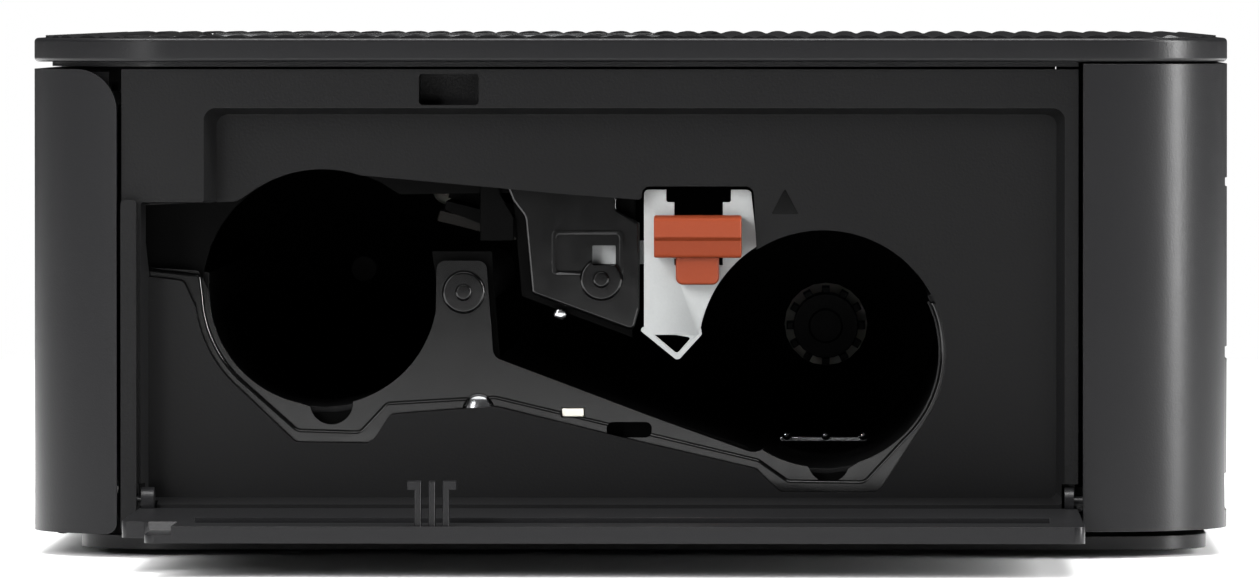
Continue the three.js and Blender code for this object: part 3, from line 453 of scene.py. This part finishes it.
def quilt():
    columns, rows = round((X1 - X0) / PAD) + 2, round((Y1 - Y0) / PAD) + 2
    deselect_everything()
    bpy.ops.mesh.primitive_grid_add(
        x_subdivisions=columns, y_subdivisions=rows, size=1, location=(0, 0, (LID_TOP - 0.32) * MM)
    )
    pads = bpy.context.object
    pads.scale = (columns * PAD * MM, rows * PAD * MM, 1)
    bpy.ops.object.transform_apply(location=True, rotation=False, scale=True)
    bpy.ops.object.mode_set(mode="EDIT")
    bpy.ops.mesh.select_all(action="SELECT")
    bpy.ops.mesh.inset(thickness=0.12 * MM, depth=0, use_individual=True)
    bpy.ops.mesh.inset(thickness=0.55 * MM, depth=0.22 * MM, use_individual=True)
    bpy.ops.mesh.inset(thickness=0.5 * MM, depth=0.08 * MM, use_individual=True)
    bpy.ops.mesh.select_all(action="SELECT")
    bpy.ops.mesh.extrude_region_move(TRANSFORM_OT_translate={"value": (0, 0, -0.9 * MM)})
    bpy.ops.mesh.select_all(action="SELECT")
    bpy.ops.mesh.normals_make_consistent(inside=False)
    bpy.ops.object.mode_set(mode="OBJECT")
    combine(pads, slab("trim", "Z", plan(1.25), LID_TOP - 3, LID_TOP + 1), "INTERSECT")
    return cut(pads, console_hole("trim", 1.3, LID_TOP - 4, LID_TOP + 2))


lid = slab("top_lid_shell", "Z", plan(), LID_LOW, RIM_TOP)
hollow = slab("hollow", "Z", plan(4.4), LID_LOW - 1, LID_TOP - 1.8)
cut(lid, hollow, console_hole("hole", 0.3, LID_LOW - 2, LID_TOP + 1))
soften(lid, 0.45, segments=4, angle=50)
lip = slab("lip", "Z", plan(2.0), LID_LOW - 0.5, LID_LOW + 0.3)
cut(lip, slab("inner", "Z", plan(4.6), LID_LOW - 2, LID_TOP))
(_, _), (REAR_SEAM, _), _ = corners_mm("rear_cover")
cut(lip, block("rear", X0 - 1, X1 + 1, REAR_SEAM - 0.5, Y1 + 1, LID_LOW - 3, LID_LOW + 0.02))
add(lid, lip, quilt())
fit(lid, "printer", "top_lid")

# %% [markdown]
# ## Front and rear covers
# Both covers are slices of the same thin shell, so each is the plan minus a smaller plan, trimmed to its
# side view. The front cover's flange turns round at its top with a large radius, where a finger pulls it
# open. The rear cover carries the vents, a paper slot, three shallow bands and the hole for the inlet.

# %% Front cover
SHELL_LOW, SHELL_TOP = 1.9, LID_LOW - 0.8
FRONT_SEAM = -56.5
WALL = 2.0
COVER_PIVOT = (-63.3, 3.0)
HINGES = (-72, 72)


def shell(name, low, high):
    body = slab(name, "Z", plan(), low, high)
    return cut(body, slab("core", "Z", plan(WALL), low - 1, high + 1))


cover = shell("front_cover_shell", SHELL_LOW, SHELL_TOP)
side_view = [(-70, SHELL_LOW), (FRONT_SEAM, SHELL_LOW, 1.3), (FRONT_SEAM, SHELL_TOP, 4.6), (-70, SHELL_TOP)]
combine(cover, slab("view", "X", rounded(side_view, step=6), X0 - 2, X1 + 2), "INTERSECT")
for x in HINGES:
    cut(cover, rod("relief", "X", COVER_PIVOT, 2, x - 1.9, x + 1.9))
add(cover, slab("catch", "X", box_outline(-65, -61, 48.6, 50.2, 0.4), -5, 5))
soften(cover, 0.32, segments=3, angle=40)
for x in HINGES:
    for ear in (x - 4.6, x + 1.9):
        add(cover, rod("ear", "X", COVER_PIVOT, 1.6, ear, ear + 2.7, 32))
    cut(cover, rod("bore", "X", COVER_PIVOT, 0.8, x - 4, x + 4, 24))
fit(cover, "front_cover", "front_cover")

# %% Rear cover
INLET = (-70, 13)
DOOR_AXIS = (88.8, 5.3)
rear = shell("rear_cover_shell", 1, 55)
side_view = [(REAR_SEAM, 2.3), (Y1 + 2, 2.3), (Y1 + 2, SHELL_TOP + 0.6), (REAR_SEAM, SHELL_TOP + 0.6)]
combine(rear, slab("view", "X", side_view, X0 - 2, X1 + 2), "INTERSECT")
for low, high in ((-90.1, -86.4), (86.4, 90.1)):
    add(rear, block("flange", low, high, REAR_SEAM, REAR_SEAM + 1.8, 2.3, SHELL_TOP + 0.6))
for low, high in ((40.2, 41.2), (21, 22.4), (4.2, 8.3)):
    cut(rear, block("band", -70, 80, Y1 - 0.3, Y1 + 2, low, high))
soften(rear, 0.3, segments=3, angle=40)
cut(rear, slab("slot", "Y", box_outline(-29, 67, 20.8, 22.6, 0.8), 60, 68))
for i in range(14):
    cut(rear, slab("louvre", "Y", box_outline(-66 + 10 * i, -59 + 10 * i, 44.6, 46.2, 0.75), 60, 68))
cut(rear, rod("inlet", "Y", INLET, 4.2, 60, 68), rod("pin", "Y", DOOR_AXIS, 1.15, 50, 52.5, 24))
fit(rear, "printer", "rear_cover")

# %% [markdown]
# ## The cassette side panel
# The recess is a pocket with leaning walls, so it is lofted: one outline at the panel's face, a smaller
# one at its floor, with the same number of points. The bay opening and the latch pocket are cut after
# the pocket, and only then are all edges rounded, so the opening gets its bright rim. The small arrow is
# cut after the rounding.

# %% Cassette side panel
SEAT, FLOOR = 89.1, 84.6


def loft(name, axis, outer, high, inner, low):
    """A slab whose low end has another outline with the same number of points."""
    piece = slab(name, axis, outer, low, high)
    for vertex, (u, v) in zip(piece.data.vertices, inner):
        vertex.co = Vector(AXES[axis](u, v, low)) * MM
    return piece


RECESS = [
    (-53.9, 5.2, 0.8), (48.2, 5.2, 0.8), (48.2, 49, 1.3),
    (-46.9, 49, 1.3), (-46.9, 38.6, 0.3), (-53.9, 38.6, 0.3),
]
RECESS_FLOOR = [
    (-53.3, 5.8, 0.8), (47.35, 5.8, 0.8), (47.35, 48.3, 1.3),
    (-45.7, 48.3, 1.3), (-45.7, 38.4, 0.3), (-53.3, 38.4, 0.3),
]
SUPPLY, TAKE_UP = (-34, 28.6), (21.55, 21.85)
OPENING = rounded(
    [(-53.25, 30.25), (-54.1, 38.2), (-47, 38.5), (-43.5, 38.6, 2)]
    + arc(SUPPLY, 13.6, 122, 72)
    + [(-7.8, 39.5), (1.43, 38.8, 0.4), (1.43, 40.3, 0.9), (13.8, 40.3, 0.9)]
    + arc(TAKE_UP, 13.6, 123, -33)
    + [(28.05, 7, 0.8), (27.4, 6.4), (16.8, 6.4, 0.8), (14.1, 9, 1), (1.05, 12, 3), (-14.9, 15.9, 3)]
    + [(-26.5, 15, 1), (-28.3, 12.25, 0.4), (-29.05, 11.8, 0.4), (-37, 11.9, 1)]
    + arc(SUPPLY, 14.2, 230, 187)
    + [(-49.45, 29.8, 0.8)]
)
LATCH = (-23.1, -16.5, 49.35, 52.8)
panel = block("cassette_side_panel_shell", SEAT - 1.8, SEAT, -56, 49.7, 4.2, SHELL_TOP)
add(panel, block("tub", FLOOR - 1.5, SEAT - 0.5, -55.1, 49.4, 4.4, 39.8))
add(panel, block("tub", FLOOR - 1.5, SEAT - 0.5, -48.1, 49.4, 30, 50.2))
latch_tub = LATCH[0] - 1, LATCH[1] + 1, LATCH[2] - 0.3, LATCH[3] + 0.4
add(panel, block("latch_tub", 83.2, SEAT - 0.5, *latch_tub))
add(panel, block("apron", FLOOR - 1.5, FLOOR, -55.1, 49.4, SHELL_LOW, 6))
cut(panel, loft("recess", "X", rounded(RECESS), SEAT + 0.02, rounded(RECESS_FLOOR), FLOOR))
cut(panel, slab("bay", "X", OPENING, 80, 86))
cut(panel, slab("latch", "X", box_outline(*LATCH, 0.4), 84.2, 93))
latch_step = LATCH[0] - 0.01, LATCH[0] + 1.1, LATCH[2] + 0.3, LATCH[3] - 0.3
cut(panel, block("latch_step", 87.6, 93, *latch_step))
add(panel, slab("strip", "X", box_outline(-56, -54.3, 2.3, 38.9, 0.5), 85.2, X1))
for front, back in ((-54.25, -52.1), (47.9, 50)):
    cut(panel, block("knuckle_room", 86.6, 93, front, back, 2, 7.5))
cut(panel, rod("pin_hole", "Y", DOOR_AXIS, 1.15, -57, -54, 24))
soften(panel, 0.22, segments=2, angle=25)
ARROW = [(15.8, 37.2), (18.8, 37.2), (17.3, 40.1)]
cut(panel, slab("arrow", "X", rounded([(*corner, 0.1) for corner in ARROW]), FLOOR - 0.3, FLOOR + 1))
fit(panel, "printer", "cassette_side_panel")
arrow = slab("arrow_inlay", "X", rounded([(*corner, 0.15) for corner in ARROW]), FLOOR - 0.31, FLOOR - 0.12)
fit(soften(arrow, 0.05), "printer", finish="gloss_plastic")

# %% [markdown]
# ## The cassette door, folded open
# The door is modelled shut, where its numbers are easy to read, and then turned about its hinge into the
# frame's open pose. Its lower edge is thinned so it can tuck under the panel; the hooks and the ribs on
# its inner face are what shows when it lies open.

# %% Cassette door
DOOR_X, DOOR_IN = X1, 89.3
DOOR_TOP, THUMB, STEP = 53, -50.8, 39.3
door_view = [
    (-54, 1.7, 0.4), (49.6, 1.7, 0.4), (49.6, DOOR_TOP, 1.2),
    (THUMB, DOOR_TOP, 1.2), (THUMB, STEP + 1.8, 1.5), (-54, STEP, 1.2),
]
door = slab("cassette_door_leaf", "X", rounded(door_view), DOOR_IN, DOOR_X)
scoop = [(DOOR_IN - 1, 40), (DOOR_IN + 0.9, 41.5), (DOOR_IN + 0.9, 54), (DOOR_IN - 1, 54)]
cut(door, slab("scoop", "Y", scoop, -51, -47.9))
cut(door, block("thin_edge", DOOR_IN - 1, 90.2, -55, 51, 0, DOOR_AXIS[1] + 0.5))
soften(door, 0.25, segments=3, angle=30)


def hinge_ear(low, high):
    ear = rod("ear", "Y", DOOR_AXIS, 1.8, low, high, 40)
    return add(ear, block("neck", DOOR_AXIS[0], 90.4, low, high, DOOR_AXIS[1] - 1.8, DOOR_AXIS[1] + 1.2))


def hook(y, lean):
    leg = slab("hook", "X", box_outline(y - 0.35, y + 0.35, 49.7, 52.1, 0.15), 84.5, DOOR_IN + 0.2)
    if lean:
        low, high = sorted((y, y + lean))
        add(leg, block("barb", 84.5, 85.4, low, high, 49.7, 52.1))
    return soften(leg, 0.1, segments=2)


add(door, hinge_ear(-53.8, -52.4), hinge_ear(48.2, 49.2))
for front, back in ((-55.2, -53.5), (49, 51.5)):
    add(door, rod("pin", "Y", DOOR_AXIS, 0.85, front, back, 24))
add(door, hook(-21.6, -1.1), hook(-20.1, 0), hook(-18.6, 1.1))
add(door, soften(block("rib", DOOR_IN - 0.6, DOOR_IN + 0.2, -46, 46, 42.5, 43.6), 0.15))
only(door)
bpy.ops.object.mode_set(mode="EDIT")
bpy.ops.mesh.select_all(action="SELECT")
hinge = Vector((DOOR_AXIS[0], 0, DOOR_AXIS[1])) * MM
bpy.ops.transform.rotate(value=math.radians(-90), orient_axis="Y", center_override=hinge)
bpy.ops.object.mode_set(mode="OBJECT")
opened = [max(v.co[i] for v in door.data.vertices) / MM for i in (0, 2)]
print("the open door reaches x, z:", [round(v, 1) for v in opened])
fit(door, "cassette_door", "cassette_door")

# %% [markdown]
# ## The polished bay frame
# The frame behind the panel is one glossy moulding: a sheet whose inner edge follows the cassette, and a
# raised rim a little further out. Two outlines and a union give both levels. Its edges are rounded more
# than the panel's, because polished edges show as bright lines.

# %% Bay frame below the cassette
PLATEN, HEAD = (-18.4, 28.5), (-3.1, 29.95)
FEED = (-16.71, 15.41)
RIM_X = 82.8
HIDDEN_EDGE = [
    (36.6, 27.5), (36.6, 12), (29.6, 4.4), (15.8, 4.4), (12.9, 7), (-14.9, 13.6), (-25.3, 12.9),
    (-27.3, 9.8), (-37.9, 9.8), (-44.9, 16.4), (-50.6, 26.5), (-54.6, 28.4), (-54.6, 31.3),
]
SHEET_EDGE = (
    HIDDEN_EDGE
    + [(-47.9, 30.9, 0.6)]
    + arc(SUPPLY, 12.7, 180, 258, 3) + arc((-33.1, 16.2), 2.4, 190, 350, 10) + arc(SUPPLY, 12.7, 285, 350, 3)
    + [(-21.4, 32, 1), (-15.9, 32, 1), (-15.1, 21.3, 1.2), (3.25, 14.4, 3), (14.2, 10.5, 2)]
    + arc(TAKE_UP, 12.8, 238, 262, 3) + arc((22.15, 9.7), 2.3, 200, 340, 10) + arc(TAKE_UP, 12.8, 288, 386, 3)
)
RIM_EDGE = (
    HIDDEN_EDGE
    + [(-47.6, 30.5, 0.6)]
    + arc(SUPPLY, 13.3, 183, 226, 3)
    + [(-36.8, 13.3, 1), (-30, 13.1, 1), (-27, 16.3, 1), (-14.9, 17, 2)]
    + [(1.4, 13.1, 2), (14.4, 10, 1), (17.7, 7.7, 0.8), (26, 7.6, 1)]
    + arc(TAKE_UP, 13, 313, 386, 3)
)


def bolt_boss(centre, base, face, button):
    """A closed boss over a shaft's end: a rounded drum with a small button in its middle."""
    drum = soften(rod("drum", "X", centre, 2.4, base, face), 0.35, segments=3)
    return add(drum, soften(rod("button", "X", centre, 0.95, face - 0.2, button, 32), 0.3, segments=3))


frame_sheet = soften(slab("bay_frame", "X", rounded(SHEET_EDGE), RIM_X - 2.8, RIM_X - 1), 0.3, segments=3, angle=30)
rim = soften(slab("rim", "X", rounded(RIM_EDGE), RIM_X - 1.2, RIM_X), 0.35, segments=3, angle=30)
add(frame_sheet, rim, bolt_boss(PLATEN, 81, 82.6, 83.1))
cut(frame_sheet, rod("bore", "X", PLATEN, 1.7, 78, 81.4), rod("window", "X", FEED, 1.8, 78, 84))
cut(frame_sheet, slab("hole", "X", box_outline(-7.6, -4.9, 14.6, 15.7, 0.15), 78, 84))
cut(frame_sheet, slab("slot", "X", box_outline(-2.5, 2.5, 12.4, 14.1, 0.7), 78, 84))
fit(frame_sheet, "printer", "bay_lower_frame")

# %% Upper plate beside the ejector
plate_view = [
    (-14.6, 42.6), (-12.95, 38.65, 1), (-11.6, 36.85, 1.5), (-10.8, 28.35, 0.6), (0.46, 24.2, 0.6),
    (1.15, 26.7, 0.5), (1.15, 36.2, 0.3), (-1.4, 37.7, 0.3), (-1.6, 42.6),
]
plate = soften(slab("bay_upper_plate_shell", "X", rounded(plate_view), 80.5, 82.2), 0.3, segments=3, angle=30)
ridge = cut(
    slab("ridge", "X", box_outline(-8.6, -0.6, 30.4, 35.4, 0.6), 82.1, 82.4),
    slab("inner", "X", box_outline(-8.1, -1.1, 30.9, 34.9, 0.4), 82, 83),
)
add(plate, soften(ridge, 0.08), bolt_boss(HEAD, 82, 83, 83.5))
cut(plate, rod("bore", "X", HEAD, 1.7, 78, 81.4))
cut(plate, slab("hole", "X", box_outline(-4.1, -1.5, 31.5, 33.7, 0.15), 78, 84))
fit(plate, "printer", "bay_upper_plate")

# %% [markdown]
# ## The ejector: pale housing and orange lever
# The lever's head is a wedge: its upper face leans out to a crease and the lower face drops back to a
# tab. A profile extruded across the lever gives the crease for free. The housing is a flat pale moulding
# with a window at its top and a small looped foot.

# %% Ejector housing
housing_view = (
    [(1.65, 39.9, 0.5), (1.65, 23.8, 0.5), (8.3, 23.8, 0.4)]
    + arc(TAKE_UP, 13.9, 169, 122, 4)
    + [(13.5, 39.9, 0.5)]
)
housing = slab("ejector_housing_shell", "X", rounded(housing_view), 80.7, 82.6)
foot = cut(
    slab("foot", "X", rounded([(0.7, 24.7, 0.3), (5.4, 20.9, 0.5), (8.4, 24.2, 0.3)]), 81, 82.6),
    slab("eye", "X", rounded([(2.2, 24.3, 0.2), (5.3, 21.7, 0.3), (6.9, 23.5, 0.2)]), 80, 83),
)
tongue = slab("tongue", "X", box_outline(-5, 3, 31.6, 34.2, 0.4), 79.7, 80.2)
add(tongue, block("step", 79.9, 81.1, 1.8, 2.7, 31.9, 33.9))
add(housing, foot, tongue)
cut(housing, block("window", 80, 83, 5, 10.4, 31.5, 41))
cut(housing, slab("notch", "X", box_outline(4.1, 11.3, 38.5, 41, 0.3), 80, 83))
soften(housing, 0.16, segments=2, angle=30)
fit(housing, "printer", "ejector_housing")

# %% Eject lever
LEVER_LOW, LEVER_TOP, LEVER_FRONT = 32.4, 37.1, 86.8
profile = [
    (83, LEVER_LOW, 0.2), (LEVER_FRONT - 1.1, LEVER_LOW, 0.5), (LEVER_FRONT - 0.55, 34.3, 0.2),
    (LEVER_FRONT, 34.7, 0.25), (LEVER_FRONT, 36.8, 0.5), (LEVER_FRONT - 0.8, LEVER_TOP, 0.3),
    (83, LEVER_TOP, 0.2),
]
lever = soften(slab("eject_lever_shell", "Y", rounded(profile), 2.8, 12.5), 0.22, segments=3, angle=30)
tab_view = rounded([(5.2, 29.4, 0.8), (10, 29.4, 0.8), (10, 32.9), (5.2, 32.9)])
tab = slab("tab", "X", tab_view, 83, LEVER_FRONT - 2.0)
add(lever, soften(tab, 0.3, segments=3, angle=30))
add(lever, block("stem", 76, 83.2, 5.5, 9.9, 32.6, 36.4), block("arm", 73, 77, 2.6, 9.9, 34, 35.6))
fit(lever, "eject_lever", "eject_lever")

# %% [markdown]
# ## Small bright things inside the bay
# Three rivets sit on the leaf spring, a pan-head screw holds the bracket, and a pale sensor tab shows
# through the frame's slot. They are tiny, yet they are the only bright points in a black cavity.

# %% Rivets, screw and sensor tab
leaf = [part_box("spool_leaf_spring")[i] / MM for i in (0, 1)]


def dome(name, centre, radius, base, height):
    """A domed head facing +X: a drum whose outer rim is rounded over almost fully."""
    drum = rod(name, "X", centre, radius, base, base + height, 32)
    return soften(drum, min(radius, height) * 0.8, segments=4)


rivets = [dome("rivet", (y, leaf[1].z + 0.15), 0.55, leaf[1].x - 0.4, 0.9) for y in (17.2, 21.7, 26)]
rivets = add(rivets[0], *rivets[1:])
rivets.name = "leaf_spring_rivets"
fit(rivets, "printer", finish="steel")
screw = dome("bracket_screw", (-7.7, 26.1), 0.75, 79.5, 0.9)
fit(screw, "printer", finish="steel")
tab = soften(slab("sensor_tab", "X", box_outline(-7.45, -5.05, 14.72, 15.6, 0.15), 79.4, 82.3), 0.1)
add(tab, soften(slab("base", "X", box_outline(-8.2, -4.4, 14.2, 16, 0.4), 79.4, 79.8), 0.12))
fit(tab, "printer", finish="gear_plastic")

# %% [markdown]
# ## Finishing the remaining CAD parts
# The small mechanical parts keep their CAD shape. Their meshes are not touched: one geometry-nodes group
# merges each part's vertices and smooths across shallow angles, and a fine bevel rounds what is left, so
# facets disappear from shafts and rollers and edges catch the light. The left panel goes without the bevel.

# %% Soft edges on kept parts
def smoothing_group():
    group = bpy.data.node_groups.new("smooth_facets", "GeometryNodeTree")
    group.interface.new_socket("Geometry", in_out="INPUT", socket_type="NodeSocketGeometry")
    group.interface.new_socket("Geometry", in_out="OUTPUT", socket_type="NodeSocketGeometry")
    make = group.nodes.new
    ends = make("NodeGroupInput"), make("NodeGroupOutput")
    merge = make("GeometryNodeMergeByDistance")
    faces, edges = make("GeometryNodeSetShadeSmooth"), make("GeometryNodeSetShadeSmooth")
    angle, sharp = make("GeometryNodeInputMeshEdgeAngle"), make("FunctionNodeCompare")
    merge.inputs["Distance"].default_value = 0.001 * MM
    edges.domain = "EDGE"
    sharp.operation = "LESS_THAN"
    sharp.inputs[1].default_value = math.radians(33)
    for source, target in (
        (ends[0].outputs[0], merge.inputs["Geometry"]),
        (merge.outputs[0], faces.inputs["Geometry"]),
        (faces.outputs[0], edges.inputs["Geometry"]),
        (angle.outputs["Unsigned Angle"], sharp.inputs[0]),
        (sharp.outputs[0], edges.inputs["Shade Smooth"]),
        (edges.outputs[0], ends[1].inputs[0]),
    ):
        group.links.new(source, target)
    return group


REPLACED = {"top_lid", "front_cover", "rear_cover", "cassette_side_panel", "cassette_door"}
REPLACED |= {"bay_lower_frame", "bay_upper_plate", "ejector_housing", "eject_lever"}
FLAT_PANELS = {"left_side_panel"}  # its long thin triangles fold over if a bevel runs along them
smooth_facets = smoothing_group()
for name, node in NODES.items():
    if name in REPLACED:
        continue
    group = node.modifiers.new("smooth_facets", "NODES")
    group.node_group = smooth_facets
    if name in FLAT_PANELS:
        continue
    bevel = node.modifiers.new("soft_edges", "BEVEL")
    bevel.width, bevel.segments, bevel.limit_method = 0.12 * MM, 2, "ANGLE"
    bevel.angle_limit = math.radians(35)
print("kept parts:", len(NODES) - len(REPLACED))

# %% [markdown]
# ## Light, floor and camera
# The printer stands on a small plain white sheet. A wide, soft light from above does most of the work, so
# the recess keeps its shadow under the upper ledge. A key panel on the left reaches into the bay, and two
# tall strips make the highlights that run down the rounded vertical edges. The sheet ends close by, because
# a wide white floor would be mirrored in every glossy upright face and turn the black grey.

# %% The stage
FLOOR_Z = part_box("foot_front_left")[0].z
deselect_everything()
bpy.ops.mesh.primitive_plane_add(size=1.3, location=(0, 0, FLOOR_Z - 0.2 * MM))
floor = bpy.context.object
floor.name = "studio_floor"
paper = Finish("studio_paper")
paper.colour((0.92, 0.92, 0.92), (0.95, 0.95, 0.95), paper.noise(200, 2.0))
paper.roughness(0.75 + 0.05 * paper.noise(30, 2.0))
floor.data.materials.append(paper.material)

world = bpy.data.worlds.new("studio")
bpy.context.scene.world = world
world.use_nodes = True
shade = world.node_tree
seen = shade.nodes["Background"]
seen.inputs["Color"].default_value = (1, 1, 1, 1)
seen.inputs["Strength"].default_value = 1.0
lit = shade.nodes.new("ShaderNodeBackground")
lit.inputs["Color"].default_value = (1, 1, 1, 1)
lit.inputs["Strength"].default_value = 0.04
rays = shade.nodes.new("ShaderNodeLightPath")
mix = shade.nodes.new("ShaderNodeMixShader")
shade.links.new(rays.outputs["Is Camera Ray"], mix.inputs[0])
shade.links.new(lit.outputs[0], mix.inputs[1])
shade.links.new(seen.outputs[0], mix.inputs[2])
shade.links.new(mix.outputs[0], shade.nodes["World Output"].inputs["Surface"])


def facing(place, aim):
    """The turn that points a lamp or a camera at its aim."""
    return (Vector(aim) - Vector(place)).to_track_quat("-Z", "Y").to_euler()


def softbox(name, size, place, aim, power):
    light = bpy.data.lights.new(name, "AREA")
    light.shape = "RECTANGLE"
    light.size, light.size_y = size
    light.energy = power
    lamp = bpy.data.objects.new(name, light)
    bpy.context.scene.collection.objects.link(lamp)
    lamp.location = place
    lamp.rotation_euler = facing(place, aim)
    lamp.visible_camera = False
    return lamp


ceiling = bpy.data.lights.new("ceiling", "SUN")
ceiling.energy = 2.9
ceiling.angle = math.radians(70)
lamp = bpy.data.objects.new("ceiling", ceiling)
bpy.context.scene.collection.objects.link(lamp)
key = softbox("key_panel", (0.50, 0.40), (0.62, -0.46, 0.33), (0.09, -0.04, 0.03), 8.0)
key.visible_glossy = False  # it lights the bay without a glare on the polished console
softbox("front_strip", (0.08, 0.45), (0.62, -0.30, 0.16), (0.09, -0.05, 0.05), 1.1)
softbox("top_strip", (0.7, 0.10), (0.16, 0.0, 0.60), (0.10, 0, 0.03), 6)
softbox("rear_strip", (0.10, 0.7), (0.22, 0.80, 0.20), (0.08, 0.05, 0.03), 15)

lens = bpy.data.cameras.new("camera")
camera = bpy.data.objects.new("camera", lens)
bpy.context.scene.collection.objects.link(camera)
bpy.context.scene.camera = camera
SIDE_FACE = Vector((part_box("top_lid")[1].x, 0.00025, 0.0287))
camera.location = (1.436, 0.025, 0.061)
camera.rotation_euler = facing(camera.location, SIDE_FACE)
lens.sensor_width = 36
lens.lens = 348.6
lens.clip_end = 10

bpy.context.scene.view_settings.view_transform = "Standard"
